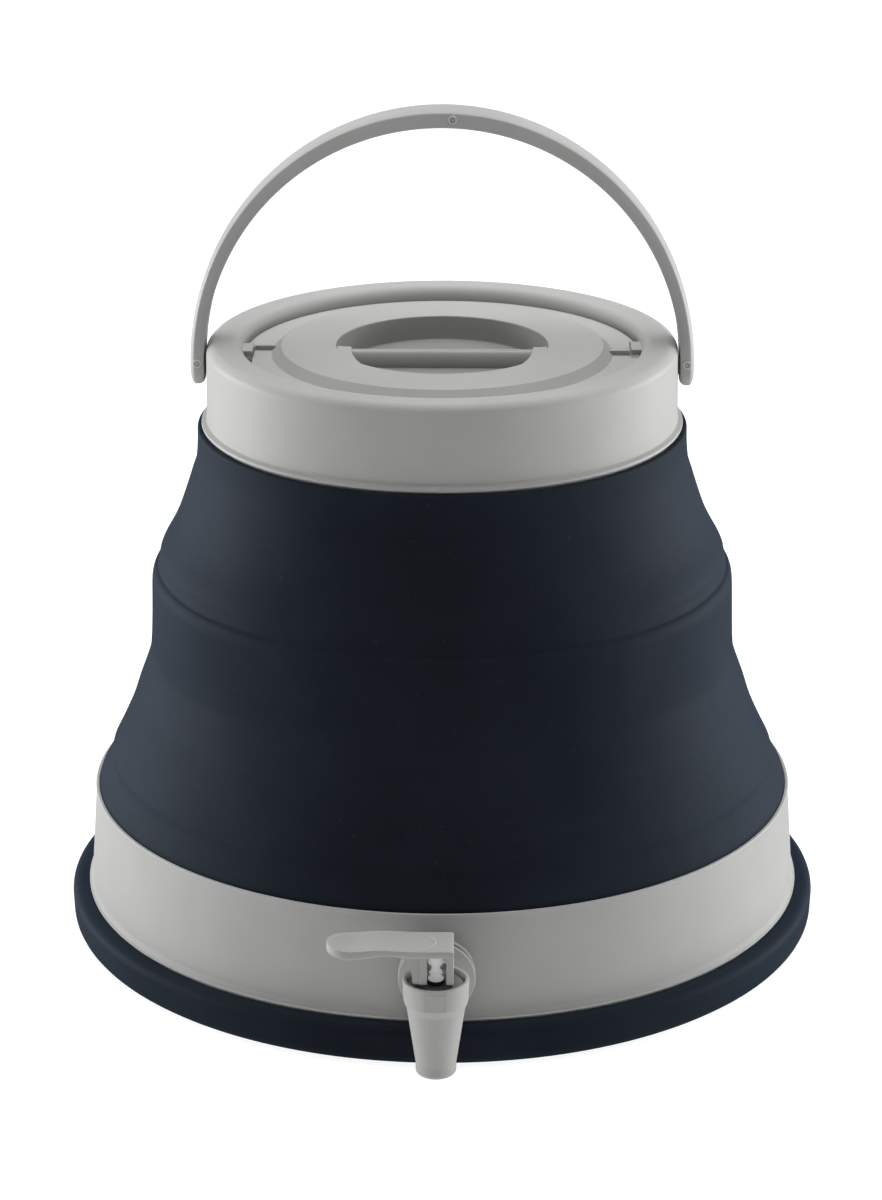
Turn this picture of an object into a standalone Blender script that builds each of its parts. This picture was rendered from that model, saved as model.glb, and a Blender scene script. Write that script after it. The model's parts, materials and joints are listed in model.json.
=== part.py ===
"""Collapsible water carrier: a tank that folds down in tiers, with a lid, a bail handle and a lever tap.

Units are metres, +Z is up. The origin is on the table under the centre of the tank.
The handle turns about an axis along X, and the tap points along -Y.
"""
from math import atan2, cos, hypot, pi, radians, sin, sqrt, tan

import bmesh
import bpy
from mathutils import Matrix, Vector

# General clearances and fineness
GAP = 0.0003
OVERRUN = 0.004
MERGE = 0.00002
RING_STEPS = 48
SMALL_STEPS = 24
FILLET_STEPS = 2
SMOOTH_ANGLE = radians(35)

# Rubber foot
FOOT_RADIUS = 0.165
FOOT_WIDTH = 0.014
FOOT_LEDGE = 0.0136
FOOT_HEIGHT = 0.0169
FOOT_SOLE_THICKNESS = 0.0022
FOOT_SHOULDER_DROP = 0.0007
FOOT_TOP_FILLET = 0.0034
FOOT_BOTTOM_FILLET = 0.0055

# Base pan
PAN_WALL = 0.003
PAN_FLOOR_RISE = 0.0025
PAN_FLOOR_THICKNESS = 0.003
PAN_FLANGE_THICKNESS = 0.0046
PAN_FLANGE_INSET = 0.0006
PAN_UPSTAND_DROP = 0.005
PAN_CORNER_FILLET = 0.003

# Lower band
BAND_HEIGHT = 0.0458
BAND_TOP_WALL = 0.00105
BAND_FOOT_WALL = 0.0039
BAND_LIP = 0.0019
BAND_LIP_HEIGHT = 0.0021

# Flexible wall, from the band up to the collar
WALL_THICKNESS = 0.0025
SKIRT_STAND = 0.0018
LOWER_TIER_RISE = 0.0125
LOWER_SHOULDER_RISE = 0.0040
LOWER_SHOULDER_STEP = 0.0024
LOWER_CREASE_STEP = 0.0061
LOWER_FOLD_RISE = 0.0470
LOWER_FOLD_HOLLOW = 0.0012
MIDDLE_SHARE = 0.4624
MIDDLE_FOOT_FLARE = 0.0011
MIDDLE_TIER_RISE = 0.0395
MIDDLE_FLARE_SHARE = 0.3
MIDDLE_SHOULDER_DROP = 0.0050
MIDDLE_SHOULDER_STEP = 0.0008
UPPER_CREASE_STEP = 0.0036
UPPER_FOLD_RISE = 0.0390
UPPER_KNEE_RISE = 0.0080
UPPER_KNEE_STEP = 0.0020
UPPER_FOLD_HOLLOW = 0.0012
HEM_STEP = 0.0045
HEM_FOOT_FLARE = 0.0029
HEM_RISE = 0.0234
HEM_NECK_RISE = 0.0085
HEM_BEAD_THICKNESS = 0.0036
HEM_BEAD_REACH = 0.0055

# Collar
COLLAR_RADIUS = 0.1004
COLLAR_HEIGHT = 0.0352
COLLAR_LIP = 0.0026
COLLAR_LIP_HEIGHT = 0.0024
COLLAR_WALL = 0.0027
COLLAR_FILLET = 0.0050
COLLAR_SKIRT_WALL = 0.0028
COLLAR_RIM_WIDTH = 0.0156
MOUTH_FILLET = 0.0022
MOUTH_WALL = 0.0024
LEDGE_DEPTH = 0.0101
LEDGE_THICKNESS = 0.0025
LEDGE_WIDTH = 0.0080
NECK_WALL = 0.0025
NECK_DROP = 0.0150
LUG_REACH = 0.0043
LUG_LENGTH = 0.0130
LUG_HEIGHT = 0.0030
LUG_TOP_DROP = 0.0028

# Ring that clamps the bead of the wall
CLAMP_WALL = 0.0027
CLAMP_HEIGHT = 0.0215
CLAMP_FOOT_REACH = 0.0030
CLAMP_FOOT_THICKNESS = 0.0028

# Lid
LID_TOP_DROP = 0.0024
LID_MOAT_WIDTH = 0.0120
LID_SHOULDER_WIDTH = 0.0050
LID_SHELL = 0.0023
LID_RIM_CLEARANCE = 0.0006
LID_FLANGE_DROP = 0.0037
LID_FLANGE_THICKNESS = 0.0021
LID_RING_WIDTH = 0.0225
RECESS_DEPTH = 0.0096
RECESS_DRAFT = 0.0016
RECESS_FILLET = 0.0012
SPIGOT_CLEARANCE = 0.0005
SPIGOT_WALL = 0.0024
SPIGOT_DROP = 0.0065
BAR_TOP_DROP = 0.0024
BAR_TOP_WIDTH = 0.0018
BAR_FOOT_WIDTH = 0.0060
BAR_STEPS = 5
POCKET_END_WIDTH = 0.0081
POCKET_END_DROP = 0.0008
LID_RIB_WIDTH = 0.0016
LID_RIB_HEIGHT = 0.0018
LID_RIB_OFFSET = 0.0030
NOTCH_CLEARANCE = 0.0008
NOTCH_EXTRA = 0.0100
BASE_PLATE_THICKNESS = 0.0023
GASKET_THICKNESS = 0.0013

# Handle
HANDLE_PIVOT_DROP = 0.0110
HANDLE_THICKNESS = 0.0062
HANDLE_WIDTH = 0.0180
HANDLE_SIDE_GAP = 0.0007
HANDLE_RISE = 0.1078
HANDLE_STEPS = 36
EYE_INSET = 0.0001
EYE_OVERSIZE = 0.0002
BOSS_RADIUS = 0.0045
PIN_RADIUS = 0.0024
PIN_DEPTH = 0.0041
PIN_HEAD_RADIUS = 0.0042
PIN_HEAD_THICKNESS = 0.0014

# Tap: the vertical axis of the spout stands out from the tank, the shank runs along Y
TAP_STANDOFF = 0.0244
SHANK_STAND = 0.0045
SHANK_RADIUS = 0.0080
SHANK_BORE = 0.0048
SHANK_CLEARANCE = 0.0003
SHANK_INNER_REACH = 0.0120
TAP_FLANGE_RADIUS = 0.0158
TAP_FLANGE_THICKNESS = 0.0030
CUP_TOP = 0.0480
CUP_RADIUS = 0.0134
CUP_FOOT_RADIUS = 0.0130
CUP_HEIGHT = 0.0095
CUP_STEP_HEIGHT = 0.0033
CUP_BORE = 0.0117
CUP_DEPTH = 0.0054
SPOUT_TOP_RADIUS = 0.0117
SPOUT_TIP_RADIUS = 0.0082
SPOUT_TIP_HEIGHT = 0.0110
SPOUT_BOTTOM = 0.0062
SPOUT_BORE = 0.0062
SPOUT_FILLET = 0.0016
CHAMBER_RADIUS = 0.0087
SEAT_HEIGHT = 0.0260
SEAT_BORE = 0.0045
SEAT_THICKNESS = 0.0040
SEAL_INSET = 0.0006
SEAL_THICKNESS = 0.0015
TAP_PAD_ROOT_DEPTH = 0.0006
INNER_SEAL_THICKNESS = 0.0018
NUT_RADIUS = 0.0150
NUT_THICKNESS = 0.0075
NUT_SIDES = 6

# Valve
BONNET_THICKNESS = 0.0017
BONNET_BOSS_RADIUS = 0.0040
BONNET_BOSS_RISE = 0.0010
STEM_RADIUS = 0.0018
STEM_CLEARANCE = 0.0004
SPOOL_RADIUS = 0.0028
SPOOL_WAIST = 0.0016
SPOOL_BOTTOM = 0.0484
SPOOL_LOWER_HEIGHT = 0.0024
SPOOL_WAIST_HEIGHT = 0.0036
SPOOL_UPPER_HEIGHT = 0.0048
PLUG_RADIUS = 0.0064
PLUG_THICKNESS = 0.0030
PLUG_SOCKET_DEPTH = 0.0016
STEM_SHOULDER_RADIUS = 0.0034
STEM_SHOULDER_THICKNESS = 0.0012
SPRING_WIRE_RADIUS = 0.0003
SPRING_RADIUS = 0.0052
SPRING_TURNS = 5
SPRING_POINTS = 9

# Lever
LEVER_TOP = 0.0642
LEVER_THICKNESS = 0.0031
LEVER_WIDTH = 0.0192
LEVER_REACH = 0.0436
LEVER_HEAD_REACH = 0.0072
LEVER_LEG_BOTTOM = 0.0493
LEVER_REAR_LEG_OUTER = 0.0092
LEVER_REAR_LEG_INNER = 0.0034
LEVER_FRONT_LEG_INNER = 0.0048
LEVER_BULGE = 0.0010
LEVER_CAM_REACH = 0.0180
HEEL_WIDTH = 0.0090
HOOK_TIP = 0.0021
HOOK_THICKNESS = 0.0011
HOOK_WIDTH = 0.0050
SEAT_WASHER_THICKNESS = 0.0009
SEAT_WASHER_BORE = 0.0046
PLAN_STEPS = 12

# Heights that follow from the sizes above
BAND_BOTTOM = FOOT_HEIGHT + GAP
BAND_TOP = BAND_BOTTOM + BAND_HEIGHT
SHANK_HEIGHT = BAND_BOTTOM + TAP_FLANGE_RADIUS + SHANK_STAND
LOWER_CREASE = BAND_TOP + SKIRT_STAND + LOWER_TIER_RISE
MIDDLE_FOOT = LOWER_CREASE + LOWER_FOLD_RISE
UPPER_CREASE = MIDDLE_FOOT + MIDDLE_TIER_RISE
HEM_FOOT = UPPER_CREASE + UPPER_FOLD_RISE
HEM_TOP = HEM_FOOT + HEM_RISE
COLLAR_BOTTOM = HEM_TOP + GAP
COLLAR_TOP = COLLAR_BOTTOM + COLLAR_HEIGHT
LEDGE_TOP = COLLAR_TOP - LEDGE_DEPTH
LUG_TOP = COLLAR_TOP - LUG_TOP_DROP
LID_TOP = COLLAR_TOP - LID_TOP_DROP
LID_FLANGE_TOP = LID_TOP - LID_FLANGE_DROP
LID_FLANGE_BOTTOM = LID_FLANGE_TOP - LID_FLANGE_THICKNESS
RECESS_FLOOR = LID_TOP - RECESS_DEPTH
SPIGOT_BOTTOM = LID_FLANGE_BOTTOM - SPIGOT_DROP
PIVOT_HEIGHT = COLLAR_TOP - HANDLE_PIVOT_DROP
CUP_LEDGE = CUP_TOP - CUP_DEPTH
BONNET_TOP = CUP_LEDGE + GAP + BONNET_THICKNESS
SEAT_WASHER_BOTTOM = BONNET_TOP + GAP
SEAT_WASHER_TOP = SEAT_WASHER_BOTTOM + SEAT_WASHER_THICKNESS
HOOK_HEIGHT = SPOOL_BOTTOM + SPOOL_LOWER_HEIGHT + SPOOL_WAIST_HEIGHT / 2

# Radii that follow from the sizes above
SKIRT_RADIUS = FOOT_RADIUS - FOOT_LEDGE
LOWER_CREASE_RADIUS = SKIRT_RADIUS - LOWER_CREASE_STEP
HEM_RADIUS = COLLAR_RADIUS + HEM_STEP
HEM_FOOT_RADIUS = HEM_RADIUS + HEM_FOOT_FLARE
MIDDLE_RADIUS = HEM_RADIUS + (SKIRT_RADIUS - HEM_RADIUS) * MIDDLE_SHARE
MIDDLE_FOOT_RADIUS = MIDDLE_RADIUS + MIDDLE_FOOT_FLARE
MIDDLE_SHOULDER_RADIUS = MIDDLE_RADIUS - MIDDLE_SHOULDER_STEP
UPPER_CREASE_RADIUS = MIDDLE_RADIUS - UPPER_CREASE_STEP
UPPER_KNEE_RADIUS = UPPER_CREASE_RADIUS - UPPER_KNEE_STEP
MOUTH_RADIUS = COLLAR_RADIUS - COLLAR_RIM_WIDTH
NECK_RADIUS = MOUTH_RADIUS - LEDGE_WIDTH
LID_SHOULDER_RADIUS = MOUTH_RADIUS - LID_MOAT_WIDTH
LID_FLAT_RADIUS = LID_SHOULDER_RADIUS - LID_SHOULDER_WIDTH
RECESS_RADIUS = LID_FLAT_RADIUS - LID_RING_WIDTH
POCKET_END_HALF_SPAN = RECESS_RADIUS - POCKET_END_WIDTH
BAND_INNER_RADIUS = SKIRT_RADIUS + GAP
BAND_FOOT_RADIUS = BAND_INNER_RADIUS + BAND_FOOT_WALL
BAND_LIP_RADIUS = BAND_FOOT_RADIUS + BAND_LIP
PAN_FLANGE_RADIUS = BAND_LIP_RADIUS - PAN_FLANGE_INSET
PAN_OUTER_RADIUS = SKIRT_RADIUS - WALL_THICKNESS - GAP
COLLAR_LIP_RADIUS = COLLAR_RADIUS + COLLAR_LIP
COLLAR_SKIRT_RADIUS = HEM_RADIUS - WALL_THICKNESS - GAP
COLLAR_SKIRT_INNER = COLLAR_SKIRT_RADIUS - COLLAR_SKIRT_WALL
COLLAR_INNER_RADIUS = COLLAR_RADIUS - COLLAR_WALL
LID_FLANGE_RADIUS = MOUTH_RADIUS - LID_RIM_CLEARANCE
SPIGOT_RADIUS = NECK_RADIUS - SPIGOT_CLEARANCE
HANDLE_INNER_RADIUS = COLLAR_RADIUS + HANDLE_SIDE_GAP
HANDLE_MIDDLE_RADIUS = HANDLE_INNER_RADIUS + HANDLE_THICKNESS / 2
SEAL_RADIUS = TAP_FLANGE_RADIUS - SEAL_INSET
TAP_PAD_FACE = BAND_FOOT_RADIUS + GAP
SEAL_INNER_FACE = TAP_PAD_FACE + GAP
TAP_FLANGE_FACE = SEAL_INNER_FACE + SEAL_THICKNESS + GAP
PAN_INNER_RADIUS = PAN_OUTER_RADIUS - PAN_WALL
PAN_PAD_FACE = sqrt((PAN_INNER_RADIUS * cos(pi / RING_STEPS)) ** 2 - NUT_RADIUS ** 2) - GAP
TAP_PAD_ROOT = BAND_INNER_RADIUS + TAP_PAD_ROOT_DEPTH
TAP_REACH = BAND_FOOT_RADIUS + TAP_STANDOFF
SHANK_INNER_END = PAN_PAD_FACE - SHANK_INNER_REACH


def clear_scene():
    """Remove every object, so that the model starts from an empty scene."""
    for old in list(bpy.data.objects):
        bpy.data.objects.remove(old, do_unlink=True)


def new_collection(name):
    collection = bpy.data.collections.new(name)
    bpy.context.scene.collection.children.link(collection)
    return collection


def new_material(name, colour, roughness, metallic=0.0):
    material = bpy.data.materials.new(name)
    material.use_nodes = True
    shader = material.node_tree.nodes["Principled BSDF"]
    shader.inputs["Base Color"].default_value = (*colour, 1.0)
    shader.inputs["Roughness"].default_value = roughness
    shader.inputs["Metallic"].default_value = metallic
    material.diffuse_color = (*colour, 1.0)
    return material


clear_scene()
PARTS = new_collection("collapsible_water_carrier")
CUTTERS = new_collection("cutters")

GREY_PLASTIC = new_material("grey_plastic", (0.50, 0.50, 0.49), 0.42)
HANDLE_GREY = new_material("handle_grey", (0.36, 0.37, 0.37), 0.45)
BLUE_RUBBER = new_material("blue_rubber", (0.035, 0.045, 0.075), 0.55)
PALE_PLASTIC = new_material("pale_plastic", (0.80, 0.81, 0.80), 0.30)
SEAL_RUBBER = new_material("seal_rubber", (0.12, 0.12, 0.13), 0.70)
SPRING_STEEL = new_material("spring_steel", (0.70, 0.70, 0.72), 0.25, 1.0)


def rounded(corners, steps=FILLET_STEPS):
    """Turn corners (x, y, fillet) of a closed outline into points, each fillet an arc of a few steps."""
    points = []
    for index, (x, y, fillet) in enumerate(corners):
        corner = Vector((x, y))
        if fillet <= 0:
            points.append(corner)
            continue
        before = (Vector(corners[index - 1][:2]) - corner).normalized()
        after = (Vector(corners[(index + 1) % len(corners)][:2]) - corner).normalized()
        half_angle = before.angle(after) / 2
        centre = corner + (before + after).normalized() * (fillet / sin(half_angle))
        start = corner + before * (fillet / tan(half_angle)) - centre
        end = corner + after * (fillet / tan(half_angle)) - centre
        sweep = start.angle_signed(end)
        for step in range(steps + 1):
            turn = Matrix.Rotation(-sweep * step / steps, 2)
            points.append(centre + turn @ start)
    return [(point.x, point.y) for point in points]


def sharp(points):
    """Corners with no fillet."""
    return [(x, y, 0.0) for x, y in points]


def add_object(name, mesh, material, collection=None):
    item = bpy.data.objects.new(name, mesh)
    (collection or PARTS).objects.link(item)
    if material:
        mesh.materials.append(material)
    return item


def smooth(mesh):
    mesh.shade_smooth()
    mesh.set_sharp_from_angle(angle=SMOOTH_ANGLE)


def turned(name, outline, material, steps=RING_STEPS, collection=None):
    """A turned piece: the outline (radius, height) runs down its outer side and is carried round Z.

    An outline that starts and ends on the axis stays open there, and any other is closed.
    """
    on_axis = outline[0][0] == 0 and outline[-1][0] == 0
    count = len(outline)
    edges = [(i, i + 1) for i in range(count - 1)]
    if not on_axis:
        edges.append((count - 1, 0))
    mesh = bpy.data.meshes.new(name)
    mesh.from_pydata([(radius, 0, height) for radius, height in outline], edges, [])
    item = add_object(name, mesh, material, collection)
    screw = item.modifiers.new("turn", "SCREW")
    screw.axis = "Z"
    screw.steps = steps
    screw.render_steps = steps
    screw.use_merge_vertices = True
    screw.merge_threshold = MERGE
    screw.use_smooth_shade = True
    return item


def baked(item):
    """Replace an object by its evaluated mesh, with its place and loose caps taken care of."""
    graph = bpy.context.evaluated_depsgraph_get()
    graph.update()
    mesh = bpy.data.meshes.new_from_object(item.evaluated_get(graph))
    shape = bmesh.new()
    shape.from_mesh(mesh)
    bmesh.ops.remove_doubles(shape, verts=shape.verts, dist=MERGE)
    shape.to_mesh(mesh)
    shape.free()
    name = item.name
    place = item.matrix_world.copy()
    homes = list(item.users_collection)
    bpy.data.objects.remove(item, do_unlink=True)
    solid = bpy.data.objects.new(name, mesh)
    solid.matrix_world = place
    for home in homes:
        home.objects.link(solid)
    return solid


def hide_tool(item):
    item.hide_render = True
    item.display_type = "WIRE"
    return item


def cylinder(name, radius, start, end, steps=SMALL_STEPS):
    """A cylinder from one point to another, used to cut or to join."""
    start, end = Vector(start), Vector(end)
    axis = end - start
    shape = bmesh.new()
    bmesh.ops.create_cone(
        shape, cap_ends=True, segments=steps, radius1=radius, radius2=radius, depth=axis.length
    )
    mesh = bpy.data.meshes.new(name)
    shape.to_mesh(mesh)
    shape.free()
    item = add_object(name, mesh, None, CUTTERS)
    item.location = (start + end) / 2
    item.rotation_euler = axis.to_track_quat("Z", "Y").to_euler()
    return hide_tool(item)


def block(name, low, high):
    """A box between two corners, used to cut or to join."""
    low, high = Vector(low), Vector(high)
    shape = bmesh.new()
    bmesh.ops.create_cube(shape, size=1)
    bmesh.ops.scale(shape, vec=high - low, verts=shape.verts)
    mesh = bpy.data.meshes.new(name)
    shape.to_mesh(mesh)
    shape.free()
    item = add_object(name, mesh, None, CUTTERS)
    item.location = (low + high) / 2
    return hide_tool(item)


def slab(name, outline, thickness, material=None, collection=None):
    """A flat outline in XY, extruded by half its thickness to each side."""
    curve = bpy.data.curves.new(name, "CURVE")
    curve.dimensions = "2D"
    curve.fill_mode = "BOTH"
    curve.extrude = thickness / 2
    spline = curve.splines.new("POLY")
    spline.points.add(len(outline) - 1)
    for point, (x, y) in zip(spline.points, outline):
        point.co = (x, y, 0, 1)
    spline.use_cyclic_u = True
    item = bpy.data.objects.new(name, curve)
    (collection or CUTTERS).objects.link(item)
    if material:
        curve.materials.append(material)
    return item


def boolean(item, tool, operation):
    """Cut an item with a tool, or join the tool to it."""
    step = item.modifiers.new(tool.name, "BOOLEAN")
    step.operation = operation
    step.solver = "EXACT"
    step.object = tool


def pivot(name, place, parent=None):
    """An empty on the axis of a joint."""
    empty = bpy.data.objects.new(name, None)
    PARTS.objects.link(empty)
    empty.location = place
    empty.empty_display_size = GAP
    if parent:
        empty.parent = parent
        empty.location = Vector(place) - world_place(parent)
    return empty


def world_place(empty):
    place = Vector(empty.location)
    while empty.parent:
        empty = empty.parent
        place += Vector(empty.location)
    return place


def hang(items, empty):
    """Parent items modelled in world coordinates to an empty."""
    inverse = Matrix.Translation(world_place(empty)).inverted()
    for item in items:
        item.parent = empty
        item.matrix_parent_inverse = inverse


def tap_hole(name):
    """The hole for the shank, through the band, the wall and the pan."""
    radius = SHANK_RADIUS + SHANK_CLEARANCE
    outer = (0, -TAP_PAD_FACE - OVERRUN, SHANK_HEIGHT)
    inner = (0, -PAN_PAD_FACE + OVERRUN, SHANK_HEIGHT)
    return cylinder(name, radius, outer, inner)


def make_rubber_foot():
    """A cap of rubber under the tank: a flat sole with a thick rim that holds the pan's flange."""
    pocket_radius = PAN_FLANGE_RADIUS + GAP
    pocket_height = FOOT_HEIGHT - PAN_FLANGE_THICKNESS - GAP
    inner_radius = FOOT_RADIUS - FOOT_WIDTH
    corners = [
        (pocket_radius, FOOT_HEIGHT, 0),
        (FOOT_RADIUS, FOOT_HEIGHT - FOOT_SHOULDER_DROP, FOOT_TOP_FILLET),
        (FOOT_RADIUS, 0, FOOT_BOTTOM_FILLET),
        (0, 0, 0),
        (0, FOOT_SOLE_THICKNESS, 0),
        (inner_radius, FOOT_SOLE_THICKNESS, 0),
        (inner_radius, pocket_height, 0),
        (pocket_radius, pocket_height, 0),
    ]
    return turned("rubber_foot", rounded(corners), BLUE_RUBBER)


def make_base_pan():
    floor_top = PAN_FLOOR_RISE + PAN_FLOOR_THICKNESS
    upstand_top = BAND_TOP - PAN_UPSTAND_DROP
    flange_top = FOOT_HEIGHT
    top = [
        (0, floor_top, 0),
        (PAN_INNER_RADIUS, floor_top, PAN_CORNER_FILLET),
        (PAN_INNER_RADIUS, upstand_top, 0),
    ]
    outside = [
        (PAN_OUTER_RADIUS, upstand_top, 0),
        (PAN_OUTER_RADIUS, flange_top, 0),
        (PAN_FLANGE_RADIUS, flange_top, 0),
        (PAN_FLANGE_RADIUS, flange_top - PAN_FLANGE_THICKNESS, 0),
        (PAN_OUTER_RADIUS, flange_top - PAN_FLANGE_THICKNESS, 0),
        (PAN_OUTER_RADIUS, PAN_FLOOR_RISE, PAN_CORNER_FILLET),
    ]
    underside = [(0, PAN_FLOOR_RISE, 0)]
    pan = turned("base_pan", rounded(top + outside + underside), GREY_PLASTIC)
    pad_root = (0, -(PAN_INNER_RADIUS + PAN_OUTER_RADIUS) / 2, SHANK_HEIGHT)
    pad_face = (0, -PAN_PAD_FACE, SHANK_HEIGHT)
    boolean(pan, cylinder("pan_pad", NUT_RADIUS, pad_root, pad_face), "UNION")
    boolean(pan, tap_hole("pan_hole"), "DIFFERENCE")
    return pan


def make_lower_band():
    top_radius = BAND_INNER_RADIUS + BAND_TOP_WALL
    lip_top = BAND_BOTTOM + BAND_LIP_HEIGHT
    corners = [
        (BAND_INNER_RADIUS, BAND_TOP, 0),
        (top_radius, BAND_TOP, 0),
        (BAND_FOOT_RADIUS, lip_top + BAND_LIP, 0),
        (BAND_LIP_RADIUS, lip_top, 0),
        (BAND_LIP_RADIUS, BAND_BOTTOM, 0),
        (BAND_INNER_RADIUS, BAND_BOTTOM, 0),
    ]
    band = turned("lower_band", rounded(corners), GREY_PLASTIC)
    root = (0, -TAP_PAD_ROOT, SHANK_HEIGHT)
    face = (0, -TAP_PAD_FACE, SHANK_HEIGHT)
    boolean(band, cylinder("tap_pad", TAP_FLANGE_RADIUS, root, face), "UNION")
    boolean(band, tap_hole("band_hole"), "DIFFERENCE")
    return band


def wall_outline():
    """Outer outline of the flexible wall, as (height, radius) from the band up to the collar."""
    skirt_top = BAND_TOP + SKIRT_STAND
    lower_middle = (LOWER_CREASE + MIDDLE_FOOT) / 2
    lower_middle_radius = (LOWER_CREASE_RADIUS + MIDDLE_FOOT_RADIUS) / 2 - LOWER_FOLD_HOLLOW
    flare_top = MIDDLE_FOOT + MIDDLE_TIER_RISE * MIDDLE_FLARE_SHARE
    knee = UPPER_CREASE + UPPER_KNEE_RISE
    upper_middle = (knee + HEM_FOOT) / 2
    upper_middle_radius = (UPPER_KNEE_RADIUS + HEM_FOOT_RADIUS) / 2 - UPPER_FOLD_HOLLOW
    return [
        (BAND_BOTTOM, SKIRT_RADIUS),
        (skirt_top, SKIRT_RADIUS),
        (skirt_top + LOWER_SHOULDER_RISE, SKIRT_RADIUS - LOWER_SHOULDER_STEP),
        (LOWER_CREASE, LOWER_CREASE_RADIUS),
        (lower_middle, lower_middle_radius),
        (MIDDLE_FOOT, MIDDLE_FOOT_RADIUS),
        (flare_top, MIDDLE_RADIUS),
        (UPPER_CREASE - MIDDLE_SHOULDER_DROP, MIDDLE_SHOULDER_RADIUS),
        (UPPER_CREASE, UPPER_CREASE_RADIUS),
        (knee, UPPER_KNEE_RADIUS),
        (upper_middle, upper_middle_radius),
        (HEM_FOOT, HEM_FOOT_RADIUS),
        (HEM_FOOT + HEM_NECK_RISE, HEM_RADIUS),
        (HEM_TOP, HEM_RADIUS),
    ]


def wall_radius(height):
    """Outer radius of the flexible wall at a height, on a straight line between its stations."""
    outline = wall_outline()
    for (low, low_radius), (high, high_radius) in zip(outline, outline[1:]):
        if height <= high:
            share = (height - low) / (high - low)
            return low_radius + (high_radius - low_radius) * share
    return outline[-1][1]


def wall_section(bottom, top):
    """Outer and inner points (radius, height) of a part of the wall, from the top down."""
    heights = [height for height, _ in wall_outline() if bottom + GAP < height < top - GAP]
    heights = [bottom, *heights, top]
    outer = [(wall_radius(height), height) for height in reversed(heights)]
    inner = [(wall_radius(height) - WALL_THICKNESS, height) for height in heights]
    return outer, inner


def make_wall():
    """The flexible wall is one moulding, split where it folds, so that each part can move."""
    sections = {
        "wall_base_hem": (BAND_BOTTOM, LOWER_CREASE - GAP / 2),
        "wall_lower_fold": (LOWER_CREASE + GAP / 2, MIDDLE_FOOT - GAP / 2),
        "wall_middle_tier": (MIDDLE_FOOT + GAP / 2, UPPER_CREASE - GAP / 2),
        "wall_upper_fold": (UPPER_CREASE + GAP / 2, HEM_FOOT - GAP / 2),
    }
    made = {}
    for name, (bottom, top) in sections.items():
        outer, inner = wall_section(bottom, top)
        made[name] = turned(name, outer + inner, BLUE_RUBBER)
    boolean(made["wall_base_hem"], tap_hole("wall_hole"), "DIFFERENCE")

    bottom = HEM_FOOT + GAP / 2
    outer, inner = wall_section(bottom, HEM_TOP)
    bead_top = HEM_FOOT + HEM_BEAD_THICKNESS
    bead_radius = COLLAR_SKIRT_RADIUS - HEM_BEAD_REACH + COLLAR_SKIRT_WALL
    bead = [
        (bead_radius, bottom),
        (bead_radius, bead_top),
        (HEM_RADIUS - WALL_THICKNESS, bead_top),
        (HEM_RADIUS - WALL_THICKNESS, HEM_TOP),
    ]
    made["wall_collar_hem"] = turned("wall_collar_hem", outer + bead, BLUE_RUBBER)
    return made


def make_wall_clamp_ring():
    """The ring inside the collar's skirt: its foot presses the bead of the wall up against the skirt."""
    outer_radius = COLLAR_SKIRT_INNER - GAP
    bead_radius = COLLAR_SKIRT_RADIUS - HEM_BEAD_REACH + COLLAR_SKIRT_WALL
    outer_radius = min(outer_radius, bead_radius - GAP)
    inner_radius = outer_radius - CLAMP_WALL
    foot_top = HEM_FOOT - GAP
    foot_bottom = foot_top - CLAMP_FOOT_THICKNESS
    top = foot_top + CLAMP_HEIGHT
    corners = [
        (inner_radius, top),
        (outer_radius, top),
        (outer_radius, foot_top),
        (outer_radius + CLAMP_FOOT_REACH, foot_top),
        (outer_radius + CLAMP_FOOT_REACH, foot_bottom),
        (inner_radius, foot_bottom),
    ]
    return turned("wall_clamp_ring", corners, GREY_PLASTIC)


def lug_block(name, side):
    """A locking lug on the wall of the mouth; side is -1 on the left and 1 on the right."""
    inner = side * (MOUTH_RADIUS - LUG_REACH)
    outer = side * (MOUTH_RADIUS + MOUTH_WALL / 2)
    low = (min(inner, outer), -LUG_LENGTH / 2, LUG_TOP - LUG_HEIGHT)
    high = (max(inner, outer), LUG_LENGTH / 2, LUG_TOP)
    return block(name, low, high)


def pin_hole(name, side):
    radius = PIN_RADIUS + GAP
    start = (side * (COLLAR_INNER_RADIUS - OVERRUN), 0, PIVOT_HEIGHT)
    end = (side * (COLLAR_RADIUS + OVERRUN), 0, PIVOT_HEIGHT)
    return cylinder(name, radius, start, end, SMALL_STEPS // 2)


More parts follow.
